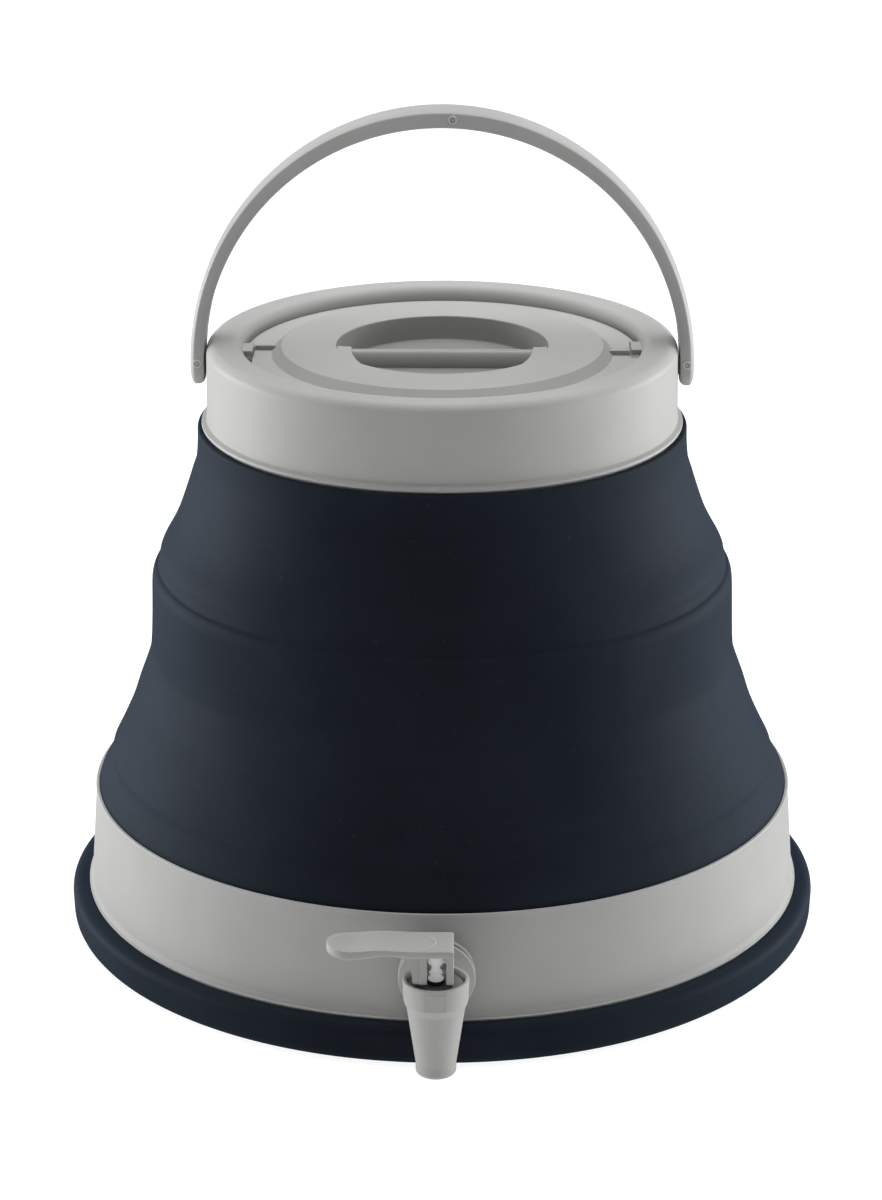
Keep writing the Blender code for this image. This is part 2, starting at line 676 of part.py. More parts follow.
def make_collar():
    lip_top = COLLAR_BOTTOM + COLLAR_LIP_HEIGHT
    skirt_bottom = HEM_FOOT + HEM_BEAD_THICKNESS + GAP
    cavity_top = COLLAR_TOP - COLLAR_WALL
    mouth_outer = MOUTH_RADIUS + MOUTH_WALL
    neck_outer = NECK_RADIUS + NECK_WALL
    neck_bottom = LEDGE_TOP - NECK_DROP
    corners = [
        (MOUTH_RADIUS, COLLAR_TOP, MOUTH_FILLET),
        (COLLAR_RADIUS, COLLAR_TOP, COLLAR_FILLET),
        (COLLAR_RADIUS, lip_top, 0),
        (COLLAR_LIP_RADIUS, lip_top - GAP, 0),
        (COLLAR_LIP_RADIUS, COLLAR_BOTTOM, 0),
        (COLLAR_SKIRT_RADIUS, COLLAR_BOTTOM, 0),
        (COLLAR_SKIRT_RADIUS, skirt_bottom, 0),
        (COLLAR_SKIRT_INNER, skirt_bottom, 0),
        (COLLAR_SKIRT_INNER, lip_top, 0),
        (COLLAR_INNER_RADIUS, lip_top + COLLAR_WALL, 0),
        (COLLAR_INNER_RADIUS, cavity_top, COLLAR_WALL),
        (mouth_outer, cavity_top, 0),
        (mouth_outer, LEDGE_TOP - LEDGE_THICKNESS, 0),
        (neck_outer, LEDGE_TOP - LEDGE_THICKNESS, 0),
        (neck_outer, neck_bottom, 0),
        (NECK_RADIUS, neck_bottom, 0),
        (NECK_RADIUS, LEDGE_TOP, 0),
        (MOUTH_RADIUS, LEDGE_TOP, 0),
    ]
    collar = turned("collar", rounded(corners), GREY_PLASTIC)
    for label, side in (("left", -1), ("right", 1)):
        boolean(collar, lug_block("lug_" + label, side), "UNION")
        boolean(collar, pin_hole("pin_hole_" + label, side), "DIFFERENCE")
    return collar


def bar_outline():
    """Section of the grip bar in (across, up): a thin top edge and sides that bulge down to its foot."""
    bottom = RECESS_FLOOR - LID_SHELL / 2
    top = LID_TOP - BAR_TOP_DROP
    points = []
    for step in range(BAR_STEPS + 1):
        share = step / BAR_STEPS
        half = BAR_FOOT_WIDTH / 2 - (BAR_FOOT_WIDTH - BAR_TOP_WIDTH) / 2 * share ** 2
        points.append((half, bottom + (top - bottom) * share))
    return points + [(-across, up) for across, up in reversed(points)]


def make_grip_bar():
    """The bar across the recess, from wall to wall."""
    length = 2 * (RECESS_RADIUS + LID_SHELL / 2)
    bar = slab("grip_bar", bar_outline(), length)
    bar.rotation_euler = (radians(90), 0, radians(90))
    bpy.context.view_layer.update()
    return hide_tool(baked(bar))


def make_pocket_end(name, side):
    """The flat end of the front finger pocket: the part of the round recess beyond a straight wall."""
    radius = RECESS_RADIUS + LID_SHELL / 2
    start = atan2(0.0, radius)
    end = -atan2(sqrt(radius ** 2 - POCKET_END_HALF_SPAN ** 2), POCKET_END_HALF_SPAN)
    outline = [(side * POCKET_END_HALF_SPAN, 0)]
    for step in range(FILLET_STEPS * 2 + 1):
        angle = start + (end - start) * step / (FILLET_STEPS * 2)
        outline.append((side * radius * cos(angle), radius * sin(angle)))
    bottom = RECESS_FLOOR - LID_SHELL / 2
    top = LID_TOP - POCKET_END_DROP
    end_block = slab(name, outline, top - bottom)
    end_block.location.z = (top + bottom) / 2
    bpy.context.view_layer.update()
    return hide_tool(baked(end_block))


def lid_rib(name, side):
    """A radial rib on the flange of the lid."""
    inner = side * (LID_SHOULDER_RADIUS - LID_SHELL / 2)
    outer = side * (MOUTH_RADIUS - LUG_REACH - 2 * GAP)
    middle = -side * LID_RIB_OFFSET
    low = (min(inner, outer), middle - LID_RIB_WIDTH / 2, LID_FLANGE_TOP - LID_FLANGE_THICKNESS / 2)
    high = (max(inner, outer), middle + LID_RIB_WIDTH / 2, LID_FLANGE_TOP + LID_RIB_HEIGHT)
    return block(name, low, high)


def lid_notch(name, side):
    """The notch in the flange that lets a lug pass."""
    inner = side * (MOUTH_RADIUS - LUG_REACH - GAP)
    outer = side * (MOUTH_RADIUS + OVERRUN)
    near = side * (-LUG_LENGTH / 2 - NOTCH_CLEARANCE)
    far = side * (LUG_LENGTH / 2 + NOTCH_CLEARANCE + NOTCH_EXTRA)
    low = (min(inner, outer), min(near, far), LID_FLANGE_BOTTOM - OVERRUN)
    high = (max(inner, outer), max(near, far), LID_FLANGE_TOP + OVERRUN)
    return block(name, low, high)


def make_lid_cover():
    shell_under = LID_TOP - LID_SHELL
    floor_under = RECESS_FLOOR - LID_SHELL
    recess_foot = RECESS_RADIUS - RECESS_DRAFT
    corners = [
        (0, RECESS_FLOOR, 0),
        (recess_foot, RECESS_FLOOR, RECESS_FILLET),
        (RECESS_RADIUS, LID_TOP, 0),
        (LID_FLAT_RADIUS, LID_TOP, 0),
        (LID_SHOULDER_RADIUS - LID_SHELL / 2, LID_TOP - LID_SHELL / 2, 0),
        (LID_SHOULDER_RADIUS, LID_FLANGE_TOP, 0),
        (LID_FLANGE_RADIUS, LID_FLANGE_TOP, 0),
        (LID_FLANGE_RADIUS, LID_FLANGE_BOTTOM, 0),
        (SPIGOT_RADIUS, LID_FLANGE_BOTTOM, 0),
        (SPIGOT_RADIUS, SPIGOT_BOTTOM, 0),
        (SPIGOT_RADIUS - SPIGOT_WALL, SPIGOT_BOTTOM, 0),
        (SPIGOT_RADIUS - SPIGOT_WALL, LID_FLANGE_BOTTOM, 0),
        (LID_FLAT_RADIUS, shell_under, 0),
        (RECESS_RADIUS + LID_SHELL, shell_under, 0),
        (recess_foot + LID_SHELL, floor_under, 0),
        (0, floor_under, 0),
    ]
    lid = turned("lid_cover", rounded(corners), GREY_PLASTIC)
    boolean(lid, make_grip_bar(), "UNION")
    for label, side in (("left", -1), ("right", 1)):
        boolean(lid, make_pocket_end("pocket_end_" + label, side), "UNION")
        boolean(lid, lid_rib("lid_rib_" + label, side), "UNION")
        boolean(lid, lid_notch("lid_notch_" + label, side), "DIFFERENCE")
    return lid


def make_lid_base_plate():
    top = SPIGOT_BOTTOM - GAP
    corners = [
        (0, top),
        (SPIGOT_RADIUS, top),
        (SPIGOT_RADIUS, top - BASE_PLATE_THICKNESS),
        (0, top - BASE_PLATE_THICKNESS),
    ]
    return turned("lid_base_plate", corners, GREY_PLASTIC)


def make_lid_gasket():
    bottom = LEDGE_TOP + GAP
    top = bottom + GASKET_THICKNESS
    inner = NECK_RADIUS
    outer = MOUTH_RADIUS - LUG_REACH - 2 * GAP
    corners = [(inner, top), (outer, top), (outer, bottom), (inner, bottom)]
    return turned("lid_gasket", corners, SEAL_RUBBER)


def strap_path():
    """Half an ellipse from the left pivot over the top to the right pivot, as (across, up)."""
    points = []
    for step in range(HANDLE_STEPS + 1):
        angle = pi - pi * step / HANDLE_STEPS
        points.append((HANDLE_MIDDLE_RADIUS * cos(angle), HANDLE_RISE * sin(angle)))
    return points


def make_strap():
    """The bail: a flat strap with round edges, drawn in XZ with its width along Y."""
    edge = HANDLE_THICKNESS / 2
    curve = bpy.data.curves.new("handle", "CURVE")
    curve.dimensions = "3D"
    curve.twist_mode = "Z_UP"
    curve.bevel_depth = edge
    curve.bevel_resolution = 1
    curve.extrude = HANDLE_WIDTH / 2 - edge
    curve.use_fill_caps = True
    spline = curve.splines.new("POLY")
    points = strap_path()
    spline.points.add(len(points) - 1)
    for point, (across, up) in zip(spline.points, points):
        point.co = (across, up, 0, 1)
    item = bpy.data.objects.new("handle", curve)
    PARTS.objects.link(item)
    curve.materials.append(HANDLE_GREY)
    item.location = (0, 0, PIVOT_HEIGHT)
    item.rotation_euler = (radians(90), 0, 0)
    bpy.context.view_layer.update()
    return baked(item)


def make_eye(name, side):
    """The round end of the bail, with the boss that bears on the collar; its own Z points outwards."""
    half = HANDLE_THICKNESS / 2 - EYE_INSET
    radius = HANDLE_WIDTH / 2 + EYE_OVERSIZE
    boss_face = -(HANDLE_MIDDLE_RADIUS - COLLAR_RADIUS - GAP)
    corners = [
        (0, half, 0),
        (radius, half, half * 0.98),
        (radius, -half, half * 0.98),
        (BOSS_RADIUS, -half, 0),
        (BOSS_RADIUS, boss_face, 0),
        (0, boss_face, 0),
    ]
    eye = turned(name, rounded(corners), None, SMALL_STEPS, CUTTERS)
    eye.location = (side * HANDLE_MIDDLE_RADIUS, 0, PIVOT_HEIGHT)
    eye.rotation_euler = (0, side * radians(90), 0)
    return hide_tool(eye)


def make_handle():
    handle = make_strap()
    sides = (("left", -1), ("right", 1))
    for label, side in sides:
        boolean(handle, make_eye("eye_" + label, side), "UNION")
    for label, side in sides:
        start = (side * COLLAR_INNER_RADIUS, 0, PIVOT_HEIGHT)
        end = (side * (HANDLE_INNER_RADIUS + PIN_DEPTH + GAP), 0, PIVOT_HEIGHT)
        hole = cylinder("eye_hole_" + label, PIN_RADIUS + GAP, start, end, SMALL_STEPS // 2)
        boolean(handle, hole, "DIFFERENCE")
    return handle


def make_handle_pin(label, side):
    """A pivot pin: head inside the collar, shank out into the eye of the handle. Own Z points outwards."""
    sagitta = COLLAR_INNER_RADIUS - sqrt(COLLAR_INNER_RADIUS ** 2 - PIN_HEAD_RADIUS ** 2)
    head_outer = COLLAR_INNER_RADIUS * cos(pi / RING_STEPS) - sagitta - GAP
    tip = HANDLE_INNER_RADIUS + PIN_DEPTH
    corners = [
        (0, tip),
        (PIN_RADIUS, tip),
        (PIN_RADIUS, head_outer),
        (PIN_HEAD_RADIUS, head_outer),
        (PIN_HEAD_RADIUS, head_outer - PIN_HEAD_THICKNESS),
        (0, head_outer - PIN_HEAD_THICKNESS),
    ]
    pin = turned("handle_pin_" + label, corners, HANDLE_GREY, SMALL_STEPS // 2)
    pin.location = (0, 0, PIVOT_HEIGHT)
    pin.rotation_euler = (0, side * radians(90), 0)
    return pin


def make_tap_cavity():
    """The hollow of the tap: cup bore, chamber, seat bore and spout bore, as one cutter."""
    seat_bottom = SEAT_HEIGHT - SEAT_THICKNESS
    outline = [
        (0, CUP_TOP + OVERRUN),
        (CUP_BORE, CUP_TOP + OVERRUN),
        (CUP_BORE, CUP_LEDGE),
        (CHAMBER_RADIUS, CUP_LEDGE),
        (CHAMBER_RADIUS, SEAT_HEIGHT),
        (SEAT_BORE, SEAT_HEIGHT),
        (SEAT_BORE, seat_bottom),
        (SPOUT_BORE, seat_bottom),
        (SPOUT_BORE, SPOUT_BOTTOM - OVERRUN),
        (0, SPOUT_BOTTOM - OVERRUN),
    ]
    return hide_tool(turned("tap_cavity", outline, None, SMALL_STEPS, CUTTERS))


def make_tap_body():
    """Cup and spout, turned about the vertical axis, with the shank and its flange joined on."""
    cup_foot = CUP_TOP - CUP_HEIGHT
    corners = [
        (0, CUP_TOP, 0),
        (CUP_RADIUS, CUP_TOP, 0),
        (CUP_FOOT_RADIUS, cup_foot, 0),
        (SPOUT_TOP_RADIUS, cup_foot - CUP_STEP_HEIGHT, 0),
        (SPOUT_TIP_RADIUS, SPOUT_TIP_HEIGHT, 0),
        (SPOUT_TIP_RADIUS, SPOUT_BOTTOM, SPOUT_FILLET),
        (0, SPOUT_BOTTOM, 0),
    ]
    body = turned("tap_body", rounded(corners), GREY_PLASTIC, SMALL_STEPS)
    body.location = (0, -TAP_REACH, 0)
    cavity = make_tap_cavity()
    cavity.location = body.location
    shank = cylinder(
        "shank", SHANK_RADIUS, (0, -TAP_REACH, SHANK_HEIGHT), (0, -SHANK_INNER_END, SHANK_HEIGHT)
    )
    flange_back = (0, -TAP_FLANGE_FACE, SHANK_HEIGHT)
    flange_front = (0, -TAP_FLANGE_FACE - TAP_FLANGE_THICKNESS, SHANK_HEIGHT)
    flange = cylinder("tap_flange", TAP_FLANGE_RADIUS, flange_back, flange_front)
    bore_start = (0, -TAP_REACH, SHANK_HEIGHT)
    bore_end = (0, -SHANK_INNER_END + OVERRUN, SHANK_HEIGHT)
    boolean(body, shank, "UNION")
    boolean(body, flange, "UNION")
    boolean(body, cavity, "DIFFERENCE")
    boolean(body, cylinder("shank_bore", SHANK_BORE, bore_start, bore_end, SMALL_STEPS // 2), "DIFFERENCE")
    return body


def shank_washer(name, outer_face, thickness, radius, material, steps=SMALL_STEPS):
    """A ring on the shank. Its outer face is given as a distance from the axis of the tank."""
    bore = SHANK_RADIUS + SHANK_CLEARANCE
    inner_face = outer_face - thickness
    corners = [(bore, outer_face), (radius, outer_face), (radius, inner_face), (bore, inner_face)]
    washer = turned(name, corners, material, steps)
    washer.location = (0, 0, SHANK_HEIGHT)
    washer.rotation_euler = (radians(90), 0, 0)
    return washer


def make_shank_fittings():
    outer_seal = shank_washer(
        "tap_outer_seal", SEAL_INNER_FACE + SEAL_THICKNESS, SEAL_THICKNESS, SEAL_RADIUS, SEAL_RUBBER
    )
    inner_face = PAN_PAD_FACE - GAP
    inner_seal = shank_washer(
        "tap_inner_seal", inner_face, INNER_SEAL_THICKNESS, NUT_RADIUS, SEAL_RUBBER
    )
    nut_face = inner_face - INNER_SEAL_THICKNESS - GAP
    nut = make_nut(nut_face)
    return [outer_seal, inner_seal, nut]


def make_nut(outer_face):
    """A hexagon nut on the shank."""
    flats = []
    for side in range(NUT_SIDES):
        angle = 2 * pi * side / NUT_SIDES
        flats.append((NUT_RADIUS * cos(angle), NUT_RADIUS * sin(angle)))
    nut = slab("tap_nut", flats, NUT_THICKNESS, GREY_PLASTIC, PARTS)
    nut.location = (0, -outer_face + NUT_THICKNESS / 2, SHANK_HEIGHT)
    nut.rotation_euler = (radians(90), 0, 0)
    bpy.context.view_layer.update()
    nut = baked(nut)
    start = (0, -outer_face - OVERRUN, SHANK_HEIGHT)
    end = (0, -outer_face + NUT_THICKNESS + OVERRUN, SHANK_HEIGHT)
    hole = cylinder("nut_hole", SHANK_RADIUS + SHANK_CLEARANCE, start, end)
    boolean(nut, hole, "DIFFERENCE")
    return nut


def on_tap_axis(item):
    item.location = (0, -TAP_REACH, 0)
    return item


def make_tap_bonnet():
    bore = STEM_RADIUS + STEM_CLEARANCE
    bottom = CUP_LEDGE + GAP
    corners = [
        (bore, BONNET_TOP + BONNET_BOSS_RISE),
        (BONNET_BOSS_RADIUS, BONNET_TOP + BONNET_BOSS_RISE),
        (BONNET_BOSS_RADIUS, BONNET_TOP),
        (CUP_BORE - GAP, BONNET_TOP),
        (CUP_BORE - GAP, bottom),
        (bore, bottom),
    ]
    return on_tap_axis(turned("tap_bonnet", corners, GREY_PLASTIC, SMALL_STEPS))


def make_lever_seat_washer():
    outer = CUP_BORE - 2 * GAP
    corners = [
        (SEAT_WASHER_BORE, SEAT_WASHER_TOP),
        (outer, SEAT_WASHER_TOP),
        (outer, SEAT_WASHER_BOTTOM),
        (SEAT_WASHER_BORE, SEAT_WASHER_BOTTOM),
    ]
    return on_tap_axis(turned("lever_seat_washer", corners, SEAL_RUBBER, SMALL_STEPS))


def make_valve_stem():
    """The stem, from its tip in the plug up to the spool that the lever lifts."""
    waist_bottom = SPOOL_BOTTOM + SPOOL_LOWER_HEIGHT
    waist_top = waist_bottom + SPOOL_WAIST_HEIGHT
    top = waist_top + SPOOL_UPPER_HEIGHT
    shoulder_bottom = SEAT_HEIGHT + GAP + PLUG_THICKNESS + GAP
    shoulder_top = shoulder_bottom + STEM_SHOULDER_THICKNESS
    tip = shoulder_bottom - PLUG_SOCKET_DEPTH
    corners = [
        (0, top),
        (SPOOL_RADIUS, top),
        (SPOOL_RADIUS, waist_top),
        (SPOOL_WAIST, waist_top),
        (SPOOL_WAIST, waist_bottom),
        (SPOOL_RADIUS, waist_bottom),
        (SPOOL_RADIUS, SPOOL_BOTTOM),
        (STEM_RADIUS, SPOOL_BOTTOM),
        (STEM_RADIUS, shoulder_top),
        (STEM_SHOULDER_RADIUS, shoulder_top),
        (STEM_SHOULDER_RADIUS, shoulder_bottom),
        (STEM_RADIUS, shoulder_bottom),
        (STEM_RADIUS, tip),
        (0, tip),
    ]
    return on_tap_axis(turned("valve_stem", corners, PALE_PLASTIC, SMALL_STEPS // 2))


def make_valve_plug():
    """The rubber plug that sits on the seat, with a blind socket for the tip of the stem."""
    bottom = SEAT_HEIGHT + GAP
    top = bottom + PLUG_THICKNESS
    socket = STEM_RADIUS + GAP
    floor = top - PLUG_SOCKET_DEPTH
    corners = [
        (0, floor),
        (socket, floor),
        (socket, top),
        (PLUG_RADIUS, top),
        (PLUG_RADIUS, bottom),
        (0, bottom),
    ]
    return on_tap_axis(turned("valve_plug", corners, SEAL_RUBBER, SMALL_STEPS))


def spring_points():
    """Centre line of the spring: one flat turn at each end and an even climb between them."""
    bottom = SEAT_HEIGHT + GAP + PLUG_THICKNESS + GAP + SPRING_WIRE_RADIUS
    top = CUP_LEDGE - SPRING_WIRE_RADIUS
    count = SPRING_TURNS * SPRING_POINTS
    points = []
    for step in range(count + 1):
        angle = 2 * pi * step / SPRING_POINTS
        height = bottom + (top - bottom) * step / count
        points.append((SPRING_RADIUS * cos(angle), SPRING_RADIUS * sin(angle), height))
    return points


def make_valve_spring():
    curve = bpy.data.curves.new("valve_spring", "CURVE")
    curve.dimensions = "3D"
    curve.bevel_depth = SPRING_WIRE_RADIUS
    curve.bevel_resolution = 1
    curve.use_fill_caps = True
    spline = curve.splines.new("POLY")
    points = spring_points()
    spline.points.add(len(points) - 1)
    for point, place in zip(spline.points, points):
        point.co = (*place, 1)
    curve.materials.append(SPRING_STEEL)
    spring = bpy.data.objects.new("valve_spring", curve)
    PARTS.objects.link(spring)
    return on_tap_axis(spring)


def lever_side():
    """Side view of the lever as (across, up): paddle, cam, rear leg, slot and front leg."""
    under = LEVER_TOP - LEVER_THICKNESS
    cam_root = LEVER_CAM_REACH
    shares = ((0.0, 0.0), (0.38, 0.06), (0.68, 0.26), (0.86, 0.55), (1.0, 1.0))
    cam = []
    for across_share, down_share in shares:
        across = -cam_root + (cam_root - LEVER_REAR_LEG_OUTER) * across_share
        cam.append((across, under + (LEVER_LEG_BOTTOM - under) * down_share))
    paddle_middle = -(LEVER_REACH + cam_root) / 2
    return [
        (-LEVER_REACH, LEVER_TOP),
        (-LEVER_REACH, under),
        (paddle_middle, under - LEVER_BULGE),
        *cam,
        (-LEVER_REAR_LEG_INNER, LEVER_LEG_BOTTOM),
        (-LEVER_REAR_LEG_INNER, under),
        (LEVER_FRONT_LEG_INNER, under),
        (LEVER_FRONT_LEG_INNER, LEVER_LEG_BOTTOM),
        (LEVER_HEAD_REACH, LEVER_LEG_BOTTOM),
        (LEVER_HEAD_REACH, LEVER_TOP),
    ]


def lever_plan():
    """Plan of the lever: a straight head and a paddle with a round end."""
    radius = LEVER_WIDTH / 2
    centre = -(LEVER_REACH - radius)
    points = [(LEVER_HEAD_REACH + OVERRUN, -radius), (LEVER_HEAD_REACH + OVERRUN, radius)]
    for step in range(PLAN_STEPS + 1):
        angle = pi / 2 + pi * step / PLAN_STEPS
        points.append((centre + radius * cos(angle), radius * sin(angle)))
    return points


def make_tap_lever():
    lever = slab("tap_lever", lever_side(), LEVER_WIDTH + OVERRUN, GREY_PLASTIC, PARTS)
    lever.rotation_euler = (radians(90), 0, 0)
    lever.location = (0, -TAP_REACH, 0)
    bpy.context.view_layer.update()
    lever = baked(lever)
    plan_bottom = SEAT_WASHER_TOP
    plan_height = LEVER_TOP - plan_bottom + OVERRUN
    plan = slab("lever_plan", lever_plan(), plan_height)
    plan.location = (0, -TAP_REACH, plan_bottom + plan_height / 2)
    bpy.context.view_layer.update()
    boolean(lever, hide_tool(baked(plan)), "INTERSECT")

    heel_bottom = SEAT_WASHER_TOP + GAP
    heel_top = LEVER_LEG_BOTTOM + LEVER_THICKNESS / 2
    inset = GAP
    heels = {
        "rear_heel": (-LEVER_REAR_LEG_OUTER + inset, -LEVER_REAR_LEG_INNER - inset),
        "front_heel": (LEVER_FRONT_LEG_INNER + inset, LEVER_HEAD_REACH - inset),
    }
    for name, (low_x, high_x) in heels.items():
        low = (low_x, -TAP_REACH - HEEL_WIDTH / 2, heel_bottom)
        high = (high_x, -TAP_REACH + HEEL_WIDTH / 2, heel_top)
        boolean(lever, block(name, low, high), "UNION")

    hooks = {
        "rear_hook": (-LEVER_REAR_LEG_INNER - inset, -HOOK_TIP),
        "front_hook": (HOOK_TIP, LEVER_FRONT_LEG_INNER + inset),
    }
    for name, (low_x, high_x) in hooks.items():
        low = (low_x, -TAP_REACH - HOOK_WIDTH / 2, HOOK_HEIGHT - HOOK_THICKNESS / 2)
        high = (high_x, -TAP_REACH + HOOK_WIDTH / 2, HOOK_HEIGHT + HOOK_THICKNESS / 2)
        boolean(lever, block(name, low, high), "UNION")
    return lever


def build():
    make_rubber_foot()
    make_base_pan()
    make_lower_band()
    wall = make_wall()
    make_tap_body()
    make_shank_fittings()
    make_tap_bonnet()
    make_valve_spring()

    middle_axis = pivot("collapse_lower_axis", (0, 0, LOWER_CREASE))
    hang([wall["wall_middle_tier"]], middle_axis)

    collar_axis = pivot("collapse_upper_axis", (0, 0, UPPER_CREASE), middle_axis)
    pins = [make_handle_pin("left", -1), make_handle_pin("right", 1)]
    hang([make_collar(), wall["wall_collar_hem"], make_wall_clamp_ring(), *pins], collar_axis)

    gasket_axis = pivot("lid_lift_axis", (0, 0, LEDGE_TOP), collar_axis)
    hang([make_lid_gasket()], gasket_axis)
    lid_axis = pivot("lid_turn_axis", (0, 0, LID_FLANGE_BOTTOM), gasket_axis)
    hang([make_lid_cover(), make_lid_base_plate()], lid_axis)

    handle_axis = pivot("handle_swing_axis", (0, 0, PIVOT_HEIGHT), collar_axis)
    hang([make_handle()], handle_axis)

    swivel_axis = pivot("lever_swivel_axis", (0, -TAP_REACH, SEAT_WASHER_BOTTOM))
    hang([make_lever_seat_washer()], swivel_axis)
    # The heel slides on its seat and the hooks rise straight up, so the lever turns about this point.
    heel_edge = -(LEVER_REAR_LEG_OUTER - GAP)
    press_axis = pivot("lever_press_axis", (heel_edge, -TAP_REACH, HOOK_HEIGHT), swivel_axis)
    hang([make_tap_lever()], press_axis)

    stem_axis = pivot("stem_lift_axis", (0, -TAP_REACH, SEAT_HEIGHT))
    hang([make_valve_stem(), make_valve_plug()], stem_axis)


build()
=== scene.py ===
import json
import math

import bpy
import bmesh
import numpy as np
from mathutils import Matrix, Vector


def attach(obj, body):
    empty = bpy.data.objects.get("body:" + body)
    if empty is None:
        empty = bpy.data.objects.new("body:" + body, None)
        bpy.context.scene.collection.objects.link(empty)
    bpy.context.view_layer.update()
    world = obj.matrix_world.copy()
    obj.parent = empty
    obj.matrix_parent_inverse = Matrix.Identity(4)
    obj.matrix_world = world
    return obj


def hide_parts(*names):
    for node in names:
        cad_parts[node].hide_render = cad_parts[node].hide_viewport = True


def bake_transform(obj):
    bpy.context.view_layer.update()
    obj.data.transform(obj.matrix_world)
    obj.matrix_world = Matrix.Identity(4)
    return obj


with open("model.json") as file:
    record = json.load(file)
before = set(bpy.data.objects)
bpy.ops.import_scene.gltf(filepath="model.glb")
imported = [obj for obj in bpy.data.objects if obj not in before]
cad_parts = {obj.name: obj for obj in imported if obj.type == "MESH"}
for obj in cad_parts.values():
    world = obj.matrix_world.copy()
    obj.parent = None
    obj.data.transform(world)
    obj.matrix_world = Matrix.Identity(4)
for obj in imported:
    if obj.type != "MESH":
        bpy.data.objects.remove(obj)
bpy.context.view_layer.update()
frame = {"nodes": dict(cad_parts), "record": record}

MM = 0.001
TAU = 2 * math.pi

# Points round a turned piece, by its size.
FINE_RING = 192
MIDDLE_RING = 96
SMALL_RING = 64
TINY_RING = 48

# Edges sharper than this stay crisp. HOLD is how many millimetres from a corner the extra points of
# a long side lie, and points within TOUCH metres of each other become one.
SHARP_ANGLE = math.radians(34)
HOLD = 0.22
TOUCH = 0.0000005
SIDES = (("left", -1), ("right", 1))

# Heights and radii in millimetres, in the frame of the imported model.
TAP_Y = -180.0
SHANK_Z = 37.5
PIVOT_Z = 250.7
LID_FLOOR = 249.7
LID_TOP = 259.3
SEAM_Z = 163.1
WALL_FOOT = 17.2
WALL_HEAD = 225.3
WALL_THICKNESS = 2.5
SKIN_OVERLAP = 2.6

# Height and outer radius of the wall, in millimetres.
WALL_STATIONS = (
    (17.2, 151.4), (63.5, 151.4), (65, 151.1), (67, 149.9), (70, 148.4), (73, 146.8), (75, 145.9),
    (76.5, 145.5), (78.5, 145.1), (80, 144.4), (84, 142.4), (88, 140.5), (92, 138.7), (96, 137.0),
    (100, 135.5), (104, 134.2), (108, 132.9), (112, 131.4), (116, 129.9), (120, 128.5), (123, 127.6),
    (125, 127.2), (128, 126.95), (132, 126.7), (140, 126.45), (148, 126.25), (155, 126.1),
    (158, 125.9), (160.5, 125.2), (162.5, 123.9), (164, 123.1), (166, 122.6), (169, 122.1),
    (171, 121.3), (173, 120.3), (176, 118.6), (180, 116.4), (184, 114.5), (188, 112.9), (192, 111.5),
    (196, 110.2), (200, 108.9), (203, 108.0), (206, 107.0), (208, 106.3), (210, 105.8), (212, 105.5),
    (216, 105.1), (220, 104.9), (225.9, 104.8),
)

# Slow waves round the wall: size, waves in one turn, start and drift for each millimetre of height.
WALL_WAVES = ((0.16, 3, 0.9, 0.03), (0.10, 7, 2.1, -0.05), (0.06, 16, 0.0, 0.11))


# Shapes


def round_corners(corners, steps=4):
    """Outline through corners (x, y, radius): each corner is swapped for the arc of that radius that
    touches both of its sides, and a corner of radius zero stays a point."""
    outline = []
    count = len(corners)
    for index, (x, y, radius) in enumerate(corners):
        here = np.array((x, y), float)
        if radius == 0:
            outline.append(here)
            continue
        back = np.array(corners[index - 1][:2], float) - here
        ahead = np.array(corners[(index + 1) % count][:2], float) - here
        back /= np.linalg.norm(back)
        ahead /= np.linalg.norm(ahead)
        half = math.acos(np.clip(back @ ahead, -1, 1)) / 2
        centre = here + (back + ahead) / np.linalg.norm(back + ahead) * radius / math.sin(half)
        first = here + back * radius / math.tan(half) - centre
        last = here + ahead * radius / math.tan(half) - centre
        sweep = math.atan2(first[0] * last[1] - first[1] * last[0], first @ last)
        turn = np.linspace(0, sweep, steps + 1)
        outline.extend(
            centre + np.stack(
                (first[0] * np.cos(turn) - first[1] * np.sin(turn),
                 first[0] * np.sin(turn) + first[1] * np.cos(turn)), 1
            )
        )
    return np.array(outline)


def hold_edges(outline, closed=True, hold=HOLD):
    """The outline with one more point a short way in from both ends of each long side, so that smooth
    shading stays inside the rounded corners."""
    ends = np.roll(outline, -1, axis=0) if closed else outline[1:]
    points = []
    for first, last in zip(outline, ends):
        points.append(first)
        length = np.linalg.norm(last - first)
        if length > 4 * hold:
            points.append(first + (last - first) * hold / length)
            points.append(last - (last - first) * hold / length)
    if not closed:
        points.append(outline[-1])
    return np.array(points)


def grid_faces(rows, columns, close_rows, close_columns=True):
    """Quads between neighbours in a grid of points that is numbered row by row."""
    row = np.arange(rows if close_rows else rows - 1)
    column = np.arange(columns if close_columns else columns - 1)
    row, column = np.meshgrid(row, column, indexing="ij")
    next_row = (row + 1) % rows
    next_column = (column + 1) % columns
    quads = np.stack(
        (row * columns + column, next_row * columns + column,
         next_row * columns + next_column, row * columns + next_column), -1
    )
    return quads.reshape(-1, 4)


def fan_faces(ring, tip):
    """Triangles from each side of a ring of point numbers to one tip point."""
    after = np.roll(ring, -1)
    return np.stack((ring, after, np.full_like(ring, tip)), -1)


def volume(points, quads, triangles):
    """Signed volume: the sum over triangles (a, b, c) of a . (b x c) / 6."""
    parts = [triangles, quads[:, (0, 1, 2)], quads[:, (0, 2, 3)]]
    corners = points[np.concatenate([part.reshape(-1, 3) for part in parts])]
    return np.einsum("ij,ij->", corners[:, 0], np.cross(corners[:, 1], corners[:, 2])) / 6


